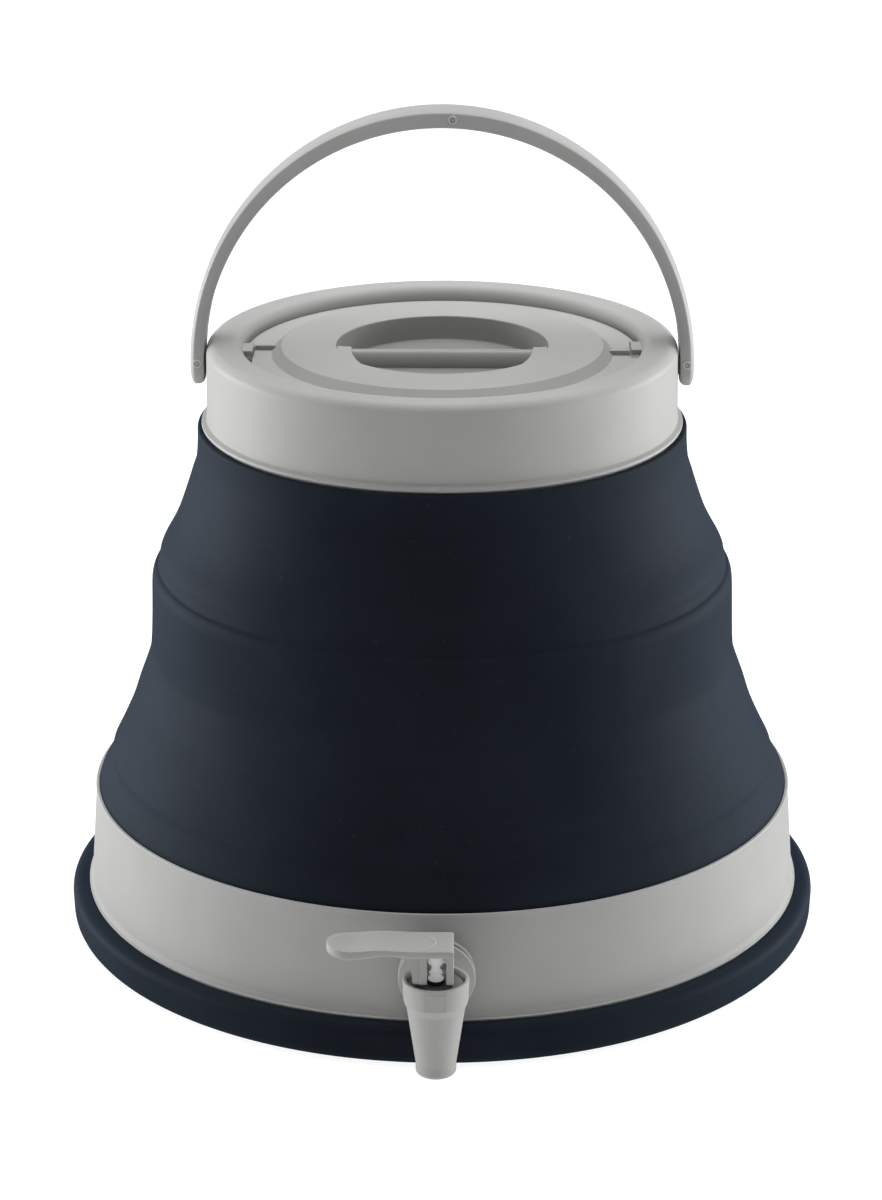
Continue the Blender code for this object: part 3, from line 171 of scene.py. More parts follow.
def add_piece(name, points, quads, triangles, material, body, stands_for=(), merge=False):
    """A closed mesh from points in millimetres, turned to face outwards, riding on a body."""
    quads = np.asarray(quads, int).reshape(-1, 4)
    triangles = np.asarray(triangles, int).reshape(-1, 3)
    points = np.asarray(points, float) * MM
    if volume(points, quads, triangles) < 0:
        quads = quads[:, ::-1]
        triangles = triangles[:, ::-1]
    mesh = bpy.data.meshes.new(name)
    mesh.from_pydata(points.tolist(), [], quads.tolist() + triangles.tolist())
    if merge:
        work = bmesh.new()
        work.from_mesh(mesh)
        bmesh.ops.remove_doubles(work, verts=work.verts, dist=TOUCH)
        bmesh.ops.dissolve_degenerate(work, edges=work.edges, dist=TOUCH)
        bmesh.ops.recalc_face_normals(work, faces=work.faces)
        work.to_mesh(mesh)
        work.free()
    mesh.update()
    mesh.polygons.foreach_set("use_smooth", np.ones(len(mesh.polygons), bool))
    mesh.set_sharp_from_angle(angle=SHARP_ANGLE)
    mesh.materials.append(material)
    piece = bpy.data.objects.new(name, mesh)
    bpy.context.scene.collection.objects.link(piece)
    if body:
        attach(piece, body)
    if stands_for:
        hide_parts(*stands_for)
    return piece


def upright(points):
    return points


def around_tap(points):
    """Moves points that were turned about Z to the axis of the tap."""
    return points + np.array((0, TAP_Y, 0))


def along_shank(points):
    """Lays points that were turned about Z along the shank: Z becomes -Y and Y becomes Z."""
    x, y, z = np.moveaxis(points, -1, 0)
    return np.stack((x, -z, y + SHANK_Z), -1)


def turned(name, outline, material, body, ring=FINE_RING, angles=None, warp=None, place=upright,
           stands_for=()):
    """Surface of revolution: each outline point (r, z) at each angle a lies at
    (r cos a, r sin a, z). An outline that begins and ends on the axis is closed there by one point,
    and any other outline is a closed loop. warp changes r and z by angle."""
    outline = np.asarray(outline, float)
    angles = np.arange(ring) * TAU / ring if angles is None else angles
    count = len(angles)
    on_axis = abs(outline[0][0]) < 1e-9 and abs(outline[-1][0]) < 1e-9
    body_rows = outline[1:-1] if on_axis else outline
    radius, height = (np.repeat(body_rows[:, k, None], count, 1) for k in (0, 1))
    angle = np.broadcast_to(angles, radius.shape)
    if warp:
        radius, height = warp(radius, height, angle)
    points = np.stack((radius * np.cos(angle), radius * np.sin(angle), height), -1).reshape(-1, 3)
    quads = grid_faces(len(body_rows), count, close_rows=not on_axis)
    triangles = ()
    if on_axis:
        tips = np.array(((0, 0, outline[0][1]), (0, 0, outline[-1][1])))
        first = np.arange(count)
        last = first + (len(body_rows) - 1) * count
        triangles = np.concatenate(
            (fan_faces(first, len(points)), fan_faces(last[::-1], len(points) + 1))
        )
        points = np.concatenate((points, tips))
    return add_piece(name, place(points), quads, triangles, material, body, stands_for)


def ladder_ends(rows, columns):
    """Quads that close the first and last loop of a grid of loops, each between two neighbours on the
    first half of the loop and the two that face them on the second half."""
    number = np.arange(columns // 2 - 1)
    rung = np.stack((number, number + 1, columns - 2 - number, columns - 1 - number), -1)
    return np.concatenate((rung, rung[:, ::-1] + (rows - 1) * columns))


def carried(name, sections, material, body, stands_for=(), merge=False):
    """A closed loop of points carried through rows, given as rows x columns x 3. The second half of
    the loop comes back beside the first half, so that each end closes straight across."""
    rows, columns = sections.shape[:2]
    quads = np.concatenate((grid_faces(rows, columns, False), ladder_ends(rows, columns)))
    return add_piece(name, sections.reshape(-1, 3), quads, (), material, body, stands_for, merge)


def block_of(name, outline, levels, material, body, edge, along_y=False):
    """A flat outline carried straight from one level to the next, upwards or along Y, with its
    edges bevelled."""
    flat = np.broadcast_to(outline, (len(levels), *outline.shape))
    level = np.broadcast_to(np.array(levels, float)[:, None], flat.shape[:2])
    first, second = flat[..., 0], flat[..., 1]
    order = (first, level, second) if along_y else (first, second, level)
    bevel_edges(carried(name, np.stack(order, -1), material, body), edge)


def side_blocks(name, inner, outer, middle, half, levels, body, edge):
    """A small block at the left and its twin at the right, half a turn further on."""
    for label, side in SIDES:
        low, high = sorted((side * inner, side * outer))
        outline = rectangle(low, side * middle - half, high, side * middle + half)
        block_of(f"{name}_{label}", outline, levels, GREY, body, edge)


def bevel_edges(piece, width, segments=3, angle=30):
    bevel = piece.modifiers.new("edge", "BEVEL")
    bevel.width = width * MM
    bevel.segments = segments
    bevel.limit_method = "ANGLE"
    bevel.angle_limit = math.radians(angle)
    bevel.harden_normals = True


def rectangle(low_x, low_y, high_x, high_y):
    return np.array(((low_x, low_y), (high_x, low_y), (high_x, high_y), (low_x, high_y)), float)


# Materials


class Value:
    """One output of a shader node. Python's operators on it add the Math nodes they stand for."""

    def __init__(self, shader, socket):
        self.shader = shader
        self.socket = socket

    def math(self, operation, *others, clamp=False):
        return self.shader.node(
            "ShaderNodeMath", {"operation": operation, "use_clamp": clamp},
            **{f"i{index}": item for index, item in enumerate((self, *others))}
        )

    def __add__(self, other):
        return self.math("ADD", other)

    def __sub__(self, other):
        return self.math("SUBTRACT", other)

    def __mul__(self, other):
        return self.math("MULTIPLY", other)

    def __pow__(self, other):
        return self.math("POWER", other)

    def __rsub__(self, other):
        return (self * -1) + other

    __radd__ = __add__
    __rmul__ = __mul__

    def between(self, low, high):
        """0 below low, 1 above high, and a smooth rise between them."""
        return self.shader.node(
            "ShaderNodeMapRange", {"interpolation_type": "SMOOTHSTEP"}, i0=self, i1=low, i2=high
        )

    def clamped(self):
        return self.math("ADD", 0.0, clamp=True)


class Shader:
    """A material's node tree, with one method that adds a node and wires its inputs."""

    def __init__(self, name):
        self.material = bpy.data.materials.new(name)
        self.material.use_nodes = True
        self.tree = self.material.node_tree
        self.surface = next(n for n in self.tree.nodes if n.type == "BSDF_PRINCIPLED")

    def wire(self, socket, value):
        if isinstance(value, Value):
            self.tree.links.new(value.socket, socket)
        else:
            socket.default_value = value

    def node(self, kind, settings=None, output=0, **inputs):
        """A node of that kind. settings are its own properties, set first. Each input is named as
        the socket is, or i0, i1 and so on by its number."""
        added = self.tree.nodes.new(kind)
        for key, value in (settings or {}).items():
            setattr(added, key, value)
        for key, value in inputs.items():
            index = int(key[1:]) if key[0] == "i" and key[1:].isdigit() else key.replace("_", " ")
            self.wire(added.inputs[index], value)
        return Value(self, added.outputs[output])

    def place(self):
        return self.node("ShaderNodeTexCoord", output=3)

    def stretched(self, x, y, z):
        return self.node(
            "ShaderNodeVectorMath", {"operation": "MULTIPLY"}, i0=self.place(), i1=(x, y, z)
        )

    def noise(self, scale, detail=3.0, roughness=0.55, where=None, distortion=0.0):
        return self.node(
            "ShaderNodeTexNoise", Vector=where or self.place(), Scale=scale, Detail=detail,
            Roughness=roughness, Distortion=distortion
        )

    def axes(self):
        """Object x, y and z as values in metres."""
        split = self.node("ShaderNodeSeparateXYZ", i0=self.place())
        return [Value(self, output) for output in split.socket.node.outputs]

    def tint(self, amount, first, second):
        """The first colour, plain or a value, where amount is 0, and the second where it is 1."""
        return self.node(
            "ShaderNodeMix", {"data_type": "RGBA"}, output=2, i0=amount,
            i6=first if isinstance(first, Value) else (*first, 1.0), i7=(*second, 1.0)
        )

    def bump(self, height, strength):
        return self.node("ShaderNodeBump", Strength=strength, Distance=GRAIN_DEPTH, Height=height)

    def finish(self, **sockets):
        for key, value in sockets.items():
            self.wire(self.surface.inputs[key.replace("_", " ")], value)
        return self.material


# The bumps of every grain are at most GRAIN_DEPTH metres deep.
GRAIN_DEPTH = 0.0003
FLOOR_GLOW = 0.92
SHELL_COLOUR = (0.385, 0.387, 0.378)

# Radii and heights in metres between which the painted shade in the lid's recess and on the grip bar
# fades in.
RECESS_RIM = (0.0452, 0.0456)
RECESS_TOP = (0.2586, 0.2592)
GRIP_SHADE_FADE = (0.2485, 0.2560)


def colour_times(colour, factor):
    return tuple(channel * factor for channel in colour)


def recess_painted_shade(shader):
    """1 inside the recess of the lid and 0 outside its rim: where the colour is darkened as a painted
    shade.
    """
    x, y, z = shader.axes()
    radius = (x * x + y * y) ** 0.5
    return (1 - radius.between(*RECESS_RIM)) * (1 - z.between(*RECESS_TOP))


def grip_painted_shade(shader):
    """1 at the foot of the grip bar, falling to 0 at its top: how much painted shade darkens it."""
    return 1 - shader.axes()[2].between(*GRIP_SHADE_FADE)


def moulded_plastic(name, colour, roughness, grain=0.5, painted_shade=None, shade_depth=1.0, wear=0.18):
    """Matt injection-moulded plastic: a fine spark-eroded grain, slow clouds in its colour, and a few
    shallow hair scratches that are a little lighter. Where painted_shade is 1 the colour is darkened
    to the share shade_depth of it, a painted shade."""
    shader = Shader(name)
    clouds = shader.noise(18.0, 4.0)
    grain_fine = shader.noise(2600.0, 2.0)
    grain_wide = shader.noise(700.0, 2.0)
    hairs = shader.noise(9.0, 5.0, 0.7, shader.stretched(1.0, 60.0, 14.0), 1.4)
    hair = hairs.between(0.63, 0.66) * (1 - hairs.between(0.66, 0.69))
    shade = clouds.between(0.3, 0.7)
    base = shader.tint(shade, colour_times(colour, 0.965), colour_times(colour, 1.035))
    base = shader.tint(hair * wear, base, colour_times(colour, 1.25))
    # Painted shade: the colour is darkened where the mask is 1.
    if painted_shade:
        base = shader.tint(painted_shade(shader), base, colour_times(colour, shade_depth))
    height = grain_fine * 0.6 + grain_wide * 0.4 - hair * (1.6 * wear)
    return shader.finish(
        Base_Color=base,
        Roughness=(grain_wide * 0.10 + clouds * 0.08 + (roughness - 0.09)).clamped(),
        IOR=1.46,
        Specular_IOR_Level=0.18,
        Normal=shader.bump(height, 0.10 * grain),
    )


def blue_silicone(name):
    """Soft matt silicone: a deep blue with slow clouds, level streaks of a faint lighter bloom, a few
    specks of dust, a very fine powdery grain, and a soft blue sheen at grazing angles."""
    shader = Shader(name)
    clouds = shader.noise(14.0, 5.0, 0.6)
    bands = shader.noise(6.0, 3.0, 0.5, shader.stretched(1.0, 1.0, 9.0))
    powder = shader.noise(1900.0, 2.0)
    grain_wide = shader.noise(420.0, 3.0)
    specks = shader.noise(520.0, 1.0, 0.5)
    deep = (0.0103, 0.0126, 0.0172)
    pale = (0.0142, 0.0173, 0.0238)
    bloom = (0.0168, 0.0204, 0.0275)
    dust = (0.08, 0.085, 0.095)
    base = shader.tint(clouds.between(0.3, 0.72), deep, pale)
    base = shader.tint(bands.between(0.55, 0.8) * 0.35, base, bloom)
    base = shader.tint(specks.between(0.735, 0.77) * 0.12, base, dust)
    height = powder * 0.5 + grain_wide * 0.5
    return shader.finish(
        Base_Color=base,
        Roughness=(grain_wide * 0.10 + clouds * 0.10 + 0.57).clamped(),
        IOR=1.43,
        Specular_IOR_Level=0.10,
        Specular_Tint=(0.40, 0.68, 1.0, 1.0),
        Sheen_Weight=0.046,
        Sheen_Roughness=0.5,
        Sheen_Tint=(0.25, 0.56, 1.0, 1.0),
        Normal=shader.bump(height, 0.16),
    )


def nylon_with_painted_glow(name):
    """Milky natural nylon, a little glossy, with light scattered under its skin and a weak glow that
    is painted light, brightening the stem in the shade under the lever's paddle."""
    shader = Shader(name)
    clouds = shader.noise(220.0, 3.0)
    base = shader.tint(clouds.between(0.3, 0.7), (0.66, 0.68, 0.67), (0.78, 0.79, 0.78))
    return shader.finish(
        Base_Color=base,
        Roughness=(clouds * 0.12 + 0.2).clamped(),
        IOR=1.5,
        Subsurface_Weight=0.25,
        Subsurface_Radius=(0.0016, 0.0016, 0.0016),
        Subsurface_Scale=1.0,
        # Painted light: the stem glows though it is no lamp.
        Emission_Color=(0.80, 0.82, 0.81, 1.0),
        Emission_Strength=0.29,
        Normal=shader.bump(clouds, 0.08),
    )


def washer_rubber(name, dark, light):
    """Washer rubber with a dry, slightly uneven surface."""
    shader = Shader(name)
    clouds = shader.noise(300.0, 4.0)
    base = shader.tint(clouds.between(0.3, 0.7), dark, light)
    return shader.finish(
        Base_Color=base,
        Roughness=(clouds * 0.15 + 0.6).clamped(),
        Normal=shader.bump(clouds, 0.15),
    )


def drawn_steel(name):
    """Bright drawn wire with a thin brown film in patches."""
    shader = Shader(name)
    film = shader.noise(500.0, 3.0)
    base = shader.tint(film.between(0.5, 0.8) * 0.4, (0.62, 0.62, 0.63), (0.45, 0.40, 0.35))
    return shader.finish(Base_Color=base, Metallic=1.0, Roughness=(film * 0.2 + 0.22).clamped())


def floor_paper(name):
    """Plain white studio paper, lit a little from itself so that it stays white to its edges."""
    shader = Shader(name)
    fibre = shader.noise(400.0, 3.0)
    base = shader.tint(fibre, (0.30, 0.30, 0.30), (0.33, 0.33, 0.33))
    return shader.finish(
        Base_Color=base,
        Roughness=0.9,
        Specular_IOR_Level=0.0,
        Emission_Color=(1.0, 1.0, 1.0, 1.0),
        Emission_Strength=FLOOR_GLOW,
    )


GREY = moulded_plastic("grey_plastic", SHELL_COLOUR, 0.50)
TAP_GREY = moulded_plastic("tap_grey", (0.385, 0.388, 0.379), 0.48, grain=0.7)
HANDLE_GREY = moulded_plastic("handle_grey", (0.380, 0.386, 0.378), 0.48, wear=0.03)
# Painted shade: the lid's grey, darkened inside its recess.
LID_GREY_PAINTED_SHADE = moulded_plastic("lid_grey_painted_shade", SHELL_COLOUR, 0.50, painted_shade=recess_painted_shade, shade_depth=0.61)
# Painted light and shade: a lighter grey than the lid, a painted highlight on the bar's crest, darkened
# towards its foot as painted shade.
GRIP_GREY_PAINTED_LIGHT_AND_SHADE = moulded_plastic("grip_grey_painted_light_and_shade", (0.460, 0.463, 0.453), 0.50, painted_shade=grip_painted_shade, shade_depth=0.64)
# Painted highlight: a lighter grey for the raised marks, which also have a smoother skin.
MARK_GREY_PAINTED_HIGHLIGHT = moulded_plastic("mark_grey_painted_highlight", (0.500, 0.502, 0.492), 0.38, grain=0.2)
RUBBER = blue_silicone("blue_rubber")
NYLON_PAINTED_GLOW = nylon_with_painted_glow("pale_plastic")
SEAL = washer_rubber("seal_rubber", (0.022, 0.022, 0.024), (0.040, 0.040, 0.043))
WASHER = washer_rubber("washer_rubber", (0.20, 0.20, 0.20), (0.24, 0.24, 0.235))
STEEL = drawn_steel("spring_steel")
PAPER = floor_paper("floor_paper")

FINISHES = {
    "grey_plastic": GREY, "handle_grey": HANDLE_GREY, "blue_rubber": RUBBER, "pale_plastic": NYLON_PAINTED_GLOW,
    "seal_rubber": SEAL, "spring_steel": STEEL,
}
SLOT_OF = {material.name: slot for slot, material in FINISHES.items()}
SLOT_OF.update(
    {material.name: "grey_plastic" for material in (TAP_GREY, LID_GREY_PAINTED_SHADE, GRIP_GREY_PAINTED_LIGHT_AND_SHADE, MARK_GREY_PAINTED_HIGHLIGHT)}
)
SLOT_OF[WASHER.name] = "seal_rubber"

for entry in frame["record"]["subparts"]:
    node_materials = frame["nodes"][entry["node"]].data.materials
    node_materials.clear()
    node_materials.append(FINISHES[entry["material_slot"]])


# Rubber: foot and wall


def make_foot():
    """The cap of rubber that the tank stands in: sole, rounded rim and the pocket for the pan."""
    corners = [
        (0, 0.0, 0), (164.3, 0.0, 5.5), (165.0, 16.9, 4.0), (157.2, 16.9, 0.3), (157.2, 12.0, 0),
        (151.0, 12.0, 0), (151.0, 2.2, 0), (0, 2.2, 0),
    ]
    outline = hold_edges(round_corners(corners, 6), closed=False)
    turned("foot_cap", outline, RUBBER, "base", stands_for=("rubber_foot",))


def wall_radius(height):
    """Outer radius of the wall at each height, from its stations, by a cubic through each pair of
    stations whose slopes are the harmonic means of the slopes at both sides, which adds no wave."""
    heights, radii = np.array(WALL_STATIONS, float).T
    steps = np.diff(heights)
    slopes = np.diff(radii) / steps
    before, after = slopes[:-1], slopes[1:]
    total = np.where(before + after == 0, 1, before + after)
    inner = np.where(before * after > 0, 2 * before * after / total, 0)
    slope_at = np.concatenate((slopes[:1], inner, slopes[-1:]))
    index = np.clip(np.searchsorted(heights, height, side="right") - 1, 0, len(steps) - 1)
    step = steps[index]
    share = (height - heights[index]) / step
    cube, square = share ** 3, share ** 2
    return (
        radii[index] * (2 * cube - 3 * square + 1)
        + slope_at[index] * step * (cube - 2 * square + share)
        + radii[index + 1] * (3 * square - 2 * cube)
        + slope_at[index + 1] * step * (cube - square)
    )


def soft_wave(radius, height, angle):
    """Adds the slight unevenness of a soft wall: each wave adds
    size sin(count angle + start + drift height), and all fade out near the rings that hold the wall."""
    held_low, held_high, fade = 66, 222, 14
    free = np.clip((height - held_low) / fade, 0, 1) * np.clip((held_high - height) / fade, 0, 1)
    wave = sum(
        size * np.sin(count * angle + start + height * drift)
        for size, count, start, drift in WALL_WAVES
    )
    return radius + free * wave, height


def wall_shell(name, bottom, top, tuck, crown, stands_for):
    """A skin of even thickness: the outer line of the wall from bottom to top, round its rim with the
    radius crown, and back down the same line moved inwards. Below the height tuck it is drawn in a
    little, behind the skin below it."""
    row_step, drawn_in = 1.1, 0.45
    shoulder = top - crown
    heights = np.append(np.arange(bottom, shoulder, row_step), shoulder)
    outer = wall_radius(heights) - np.where(heights < tuck, drawn_in, 0.0)
    inner = wall_radius(heights) - WALL_THICKNESS
    turn = np.linspace(0, math.pi / 2, 4)
    edge = wall_radius(np.array([top]))[0]
    rise = crown * np.sin(turn)
    run = crown * np.cos(turn)
    front = np.stack((edge - crown + run, shoulder + rise), 1)
    back = np.stack((edge - WALL_THICKNESS + crown - rise, shoulder + run), 1)
    outline = np.concatenate(
        (np.stack((outer, heights), 1)[:-1], front, back, np.stack((inner, heights), 1)[:-1][::-1])
    )
    skin = turned(name, outline, RUBBER, None, warp=soft_wave, stands_for=stands_for)
    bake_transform(skin)


def make_wall():
    """The wall in two skins that meet under the ledge above its middle tier."""
    wall_shell(
        "wall_lower_skin", WALL_FOOT, SEAM_Z, tuck=0, crown=0.5,
        stands_for=("wall_base_hem", "wall_lower_fold", "wall_middle_tier"),
    )
    wall_shell(
        "wall_upper_skin", SEAM_Z - SKIN_OVERLAP, WALL_HEAD, tuck=SEAM_Z + 0.5, crown=0.8,
        stands_for=("wall_upper_fold", "wall_collar_hem"),
    )


# Grey rings


def make_band():
    """The ring round the bottom of the tank, with a thin bead at its top and a lip at its foot, and
    the flat pad that the tap's seal bears on."""
    corners = [
        (151.7, 17.2, 0), (157.4, 17.2, 0.3), (157.4, 18.0, 0.3), (156.5, 18.3, 0.35),
        (155.85, 20.6, 2.0), (152.95, 61.4, 0.3), (153.2, 62.2, 0.3), (153.0, 63.0, 0.3),
        (151.7, 63.0, 0.2),
    ]
    outline = hold_edges(round_corners(corners))
    turned("band_ring", outline, GREY, "base", stands_for=("lower_band",))
    corners = [(0, 150.5, 0), (15.8, 150.5, 0), (15.8, 155.9, 0.5), (0, 155.9, 0)]
    pad = hold_edges(round_corners(corners), closed=False)
    turned("band_tap_pad", pad, GREY, "base", SMALL_RING, place=along_shank)


def make_collar():
    """The neck: rounded shoulder, mouth with its ledge, skirt that grips the wall, and two lugs."""
    corners = [
        (84.8, 261.7, 4.4), (100.4, 261.7, 4.4), (100.8, 228.3, 0.8), (102.95, 227.45, 0.3),
        (103.1, 226.3, 0.3), (102.0, 226.2, 0), (102.0, 207.3, 0), (99.3, 207.3, 0), (99.3, 229.0, 0),
        (97.7, 231.5, 0), (97.7, 259.0, 1.5), (87.2, 259.0, 0), (87.2, 249.1, 0), (79.3, 249.1, 0),
        (79.3, 236.6, 0), (76.8, 236.6, 0), (76.8, 251.6, 0.4), (84.8, 251.6, 0.6),
    ]
    outline = hold_edges(round_corners(corners, 7))
    turned("collar_shell", outline, GREY, "collar", stands_for=("collar",))
    side_blocks("collar_lug", 80.4, 86.2, 2.2, 6.5, (255.9, 258.3), "collar", 0.3)


# Lid, in millimetres

NOTCH_FLOOR = 80.2
NOTCH_MIDDLE = 82.2
FLANGE_RADIUS = 84.2
NOTCH_LOW = -17.0
NOTCH_HIGH = 7.3
NOTCH_SIDE = 40
PIP_Y = -8.0
GRIP_TOP = 256.6
GRIP_CAP = 0.35
GRIP_HALF = 0.6
GRIP_BULGE = 2.85
GRIP_REACH = 44.2


def lid_angles():
    """Even angles, with a close pair at each end of the two notches so that those ends are crisp."""
    even = np.arange(FINE_RING) * TAU / FINE_RING
    ends = []
    for y in (NOTCH_LOW, NOTCH_HIGH):
        for shift in (-0.12, 0.12):
            lean = math.asin((y + shift) / NOTCH_MIDDLE)
            ends += [math.pi - lean, TAU - lean if lean > 0 else -lean]
    angles = np.sort(np.concatenate((even, np.array(ends) % TAU)))
    keep = np.concatenate(([True], np.diff(angles) > 0.0004))
    return angles[keep]


def cut_notches(radius, height, angle):
    """Draws the flange in to the line x = +-80.2 between the two ends of each notch. The right notch
    is the left one turned half a turn. The two lower limits only keep the divisions safe."""
    x, y = np.cos(angle) * radius, np.sin(angle) * radius
    across = np.where(x < 0, y, -y) * NOTCH_MIDDLE / np.maximum(radius, 1)
    inside = (across > NOTCH_LOW) & (across < NOTCH_HIGH) & (abs(x) > NOTCH_SIDE)
    limit = NOTCH_FLOOR / np.maximum(abs(np.cos(angle)), 0.3)
    return np.where(inside & (radius > limit), limit, radius), height


def make_lid():
    """The lid: recess, flat ring, shoulder and flange in one outline, then its ribs and grip."""
    corners = [
        (0, LID_FLOOR, 0), (41.6, LID_FLOOR, 0.6), (45.3, LID_TOP, 0.35), (68.6, LID_TOP, 0.5),
        (72.7, 255.7, 0.4), (FLANGE_RADIUS, 255.7, 0.4), (FLANGE_RADIUS, 253.5, 0.3), (76.3, 253.5, 0),
        (76.3, 247.0, 0.4), (73.9, 247.0, 0.4), (73.9, 252.8, 0), (68.0, 257.0, 0), (47.6, 257.0, 0),
        (44.6, 247.4, 0), (0, 247.4, 0),
    ]
    outline = hold_edges(round_corners(corners, 6), closed=False)
    # The recess of the lid carries a painted shade in its colour.
    turned(
        "lid_shell", outline, LID_GREY_PAINTED_SHADE, "lid", angles=lid_angles(), warp=cut_notches,
        stands_for=("lid_cover",)
    )
    side_blocks("lid_rib", 71.2, 79.9, -3.0, 0.85, (255.2, 257.7), "lid", 0.25)
    make_grip()
    make_pocket_ledges()
    make_gate_pip()


def make_grip():
    """The bar across the recess: at height t from foot to top its half width is
    0.6 + 2.85 sqrt(1 - t^2), so its sides bulge down to the floor. Its top is a low half ellipse, and
    past x = +-37 it rises by up to 1.35 to meet the rim."""
    sunk = 0.4
    share = np.sin(np.linspace(0, math.pi / 2, 20))
    height = LID_FLOOR - sunk + (GRIP_TOP - LID_FLOOR + sunk) * share
    half = GRIP_HALF + GRIP_BULGE * np.sqrt(1 - share ** 2)
    side = np.stack((half, height), 1)
    turn = np.linspace(0, math.pi, 8)[1:-1]
    cap = np.stack((GRIP_HALF * np.cos(turn), GRIP_TOP + GRIP_CAP * np.sin(turn)), 1)
    section = np.concatenate((side, cap, side[::-1] * (-1, 1)))
    along = np.linspace(-GRIP_REACH, GRIP_REACH, 45)
    rise = 1.35 * np.clip((abs(along) - 37.0) / 6.0, 0, 1) ** 2
    grid_x = np.broadcast_to(along[:, None], (len(along), len(section)))
    grid_y = np.broadcast_to(section[None, :, 0], grid_x.shape)
    lift = (section[None, :, 1] - LID_FLOOR) / (GRIP_TOP + GRIP_CAP - LID_FLOOR)
    grid_z = section[None, :, 1] + rise[:, None] * np.clip(lift, 0, 1)
    # The bar's colour is painted lighter at its crest and darker towards its foot: painted light and
    # shade.
    carried("lid_grip_bar", np.stack((grid_x, grid_y, grid_z), -1), GRIP_GREY_PAINTED_LIGHT_AND_SHADE, "lid")


def make_pocket_ledges():
    """Two ledges in front of the bar, between the round wall of the recess, x^2 + y^2 = 45^2, and an
    ellipse x = 38.6 sqrt(1 - (y / 54)^2)."""
    y = np.linspace(-0.6, -30.4, 22)
    back = y[::-1]
    levels = (LID_FLOOR - 0.3, 258.3)
    for label, side in SIDES:
        inner = np.stack((side * 38.6 * np.sqrt(1 - (y / 54) ** 2), y), 1)
        outer = np.stack((side * np.sqrt(45.0 ** 2 - back ** 2), back), 1)
        block_of(
            "lid_pocket_ledge_" + label, np.concatenate((inner, outer)), levels, GREY, "lid", 0.45
        )


def make_gate_pip():
    """The small round pip that the mould's gate leaves on the floor of the recess."""
    top, root = LID_FLOOR + 0.22, LID_FLOOR - 0.4
    pip = round_corners([(0, top, 0), (0.55, top, 0.1), (0.75, root, 0), (0, root, 0)])
    turned(
        "lid_gate_pip", hold_edges(pip, closed=False), GREY, "lid", 24,
        place=lambda points: points + np.array((0, PIP_Y, 0))
    )


# Handle, in millimetres

STRAP_HALF = 9.0
OUTER_FACE = 3.1
STRAP_SPAN = 104.2
STRAP_RISE = 107.8
OUTER_ROUND = 2.3
ARCH_ROUND = 1.2
OUTER_CROWN = 6.0
CREST_EXTRA = 1.0
INNER_ROUND = 0.7
END_ROUND = 2.9
RING_MARKS = (("left", -104.0, 252.8), ("right", 104.0, 252.8), ("top", 4.4, 358.1))


def face_height(edge_distance, rounding, reach):
    """How far a face of the strap stands from its middle: full away from the edge, and down a
    quarter ellipse at the edge, as deep as the rounding and as wide as the reach."""
    near = np.clip(1 - edge_distance / reach, 0, 1)
    return OUTER_FACE - rounding * (1 - np.sqrt(1 - near ** 2))


def make_handle():
    """The strap follows half an ellipse, x = 104.2 cos a and z = 250.7 + 107.8 sin a, and runs straight
    down past its pivots into round ends. Each row goes across the outer face and back across the
    inner one, with close points at the edges. On the arch the outer edge is less round, and at its
    crest the strap is thicker inwards."""
    turn = np.linspace(math.pi, 0, 121)
    arch_x, arch_z = STRAP_SPAN * np.cos(turn), PIVOT_Z + STRAP_RISE * np.sin(turn)
    arch_nx, arch_nz = np.cos(turn) / STRAP_SPAN, np.sin(turn) / STRAP_RISE
    size = np.hypot(arch_nx, arch_nz)
    drop = STRAP_HALF * np.sin(np.linspace(math.pi / 2, 0, 15)[:-1])
    none = np.zeros_like(drop)
    x = np.concatenate((none - STRAP_SPAN, arch_x, none + STRAP_SPAN))
    z = np.concatenate((PIVOT_Z - drop, arch_z, (PIVOT_Z - drop)[::-1]))
    nx = np.concatenate((none - 1, arch_nx / size, none + 1))
    nz = np.concatenate((none, arch_nz / size, none))
    below = np.concatenate((drop, np.zeros_like(turn), drop[::-1]))
    height = np.concatenate((none, np.sin(turn), none))[:, None]
    half = np.sqrt(np.maximum(STRAP_HALF ** 2 - below ** 2, 0))
    spread = np.sin(np.linspace(-math.pi / 2, math.pi / 2, 27))
    y = half[:, None] * spread[None, :]
    edge = STRAP_HALF - np.sqrt(y ** 2 + below[:, None] ** 2)
    outer_round = OUTER_ROUND + (ARCH_ROUND - OUTER_ROUND) * np.clip(height / 0.5, 0, 1)
    outer = face_height(edge, outer_round, OUTER_CROWN)
    low = INNER_ROUND + (END_ROUND - INNER_ROUND) * np.clip(below / 5, 0, 1)[:, None] ** 2
    inner = -face_height(edge, low, low) - CREST_EXTRA * height ** 4
    offset = np.concatenate((outer, inner[:, ::-1]), 1)
    across = np.concatenate((y, y[:, ::-1]), 1)
    along_x = x[:, None] + nx[:, None] * offset
    upward = z[:, None] + nz[:, None] * offset
    points = np.stack((along_x, across, upward), -1)
    carried("handle_strap", points, HANDLE_GREY, "handle", ("handle",), merge=True)
    for label, side in SIDES:
        make_boss(label, side)
    for label, x, z in RING_MARKS:
        make_ring_mark(label, x, z)


def make_boss(label, side):
    """The low round boss inside each end of the strap, through which its pin goes."""
    corners = [(0, 100.75, 0), (4.5, 100.75, 0.25), (4.5, 102.0, 0), (0, 102.0, 0)]
    turned(
        "handle_boss_" + label, hold_edges(round_corners(corners), closed=False), HANDLE_GREY,
        "handle", TINY_RING,
        place=lambda p: np.stack((side * p[:, 2], p[:, 0], p[:, 1] + PIVOT_Z), -1)
    )


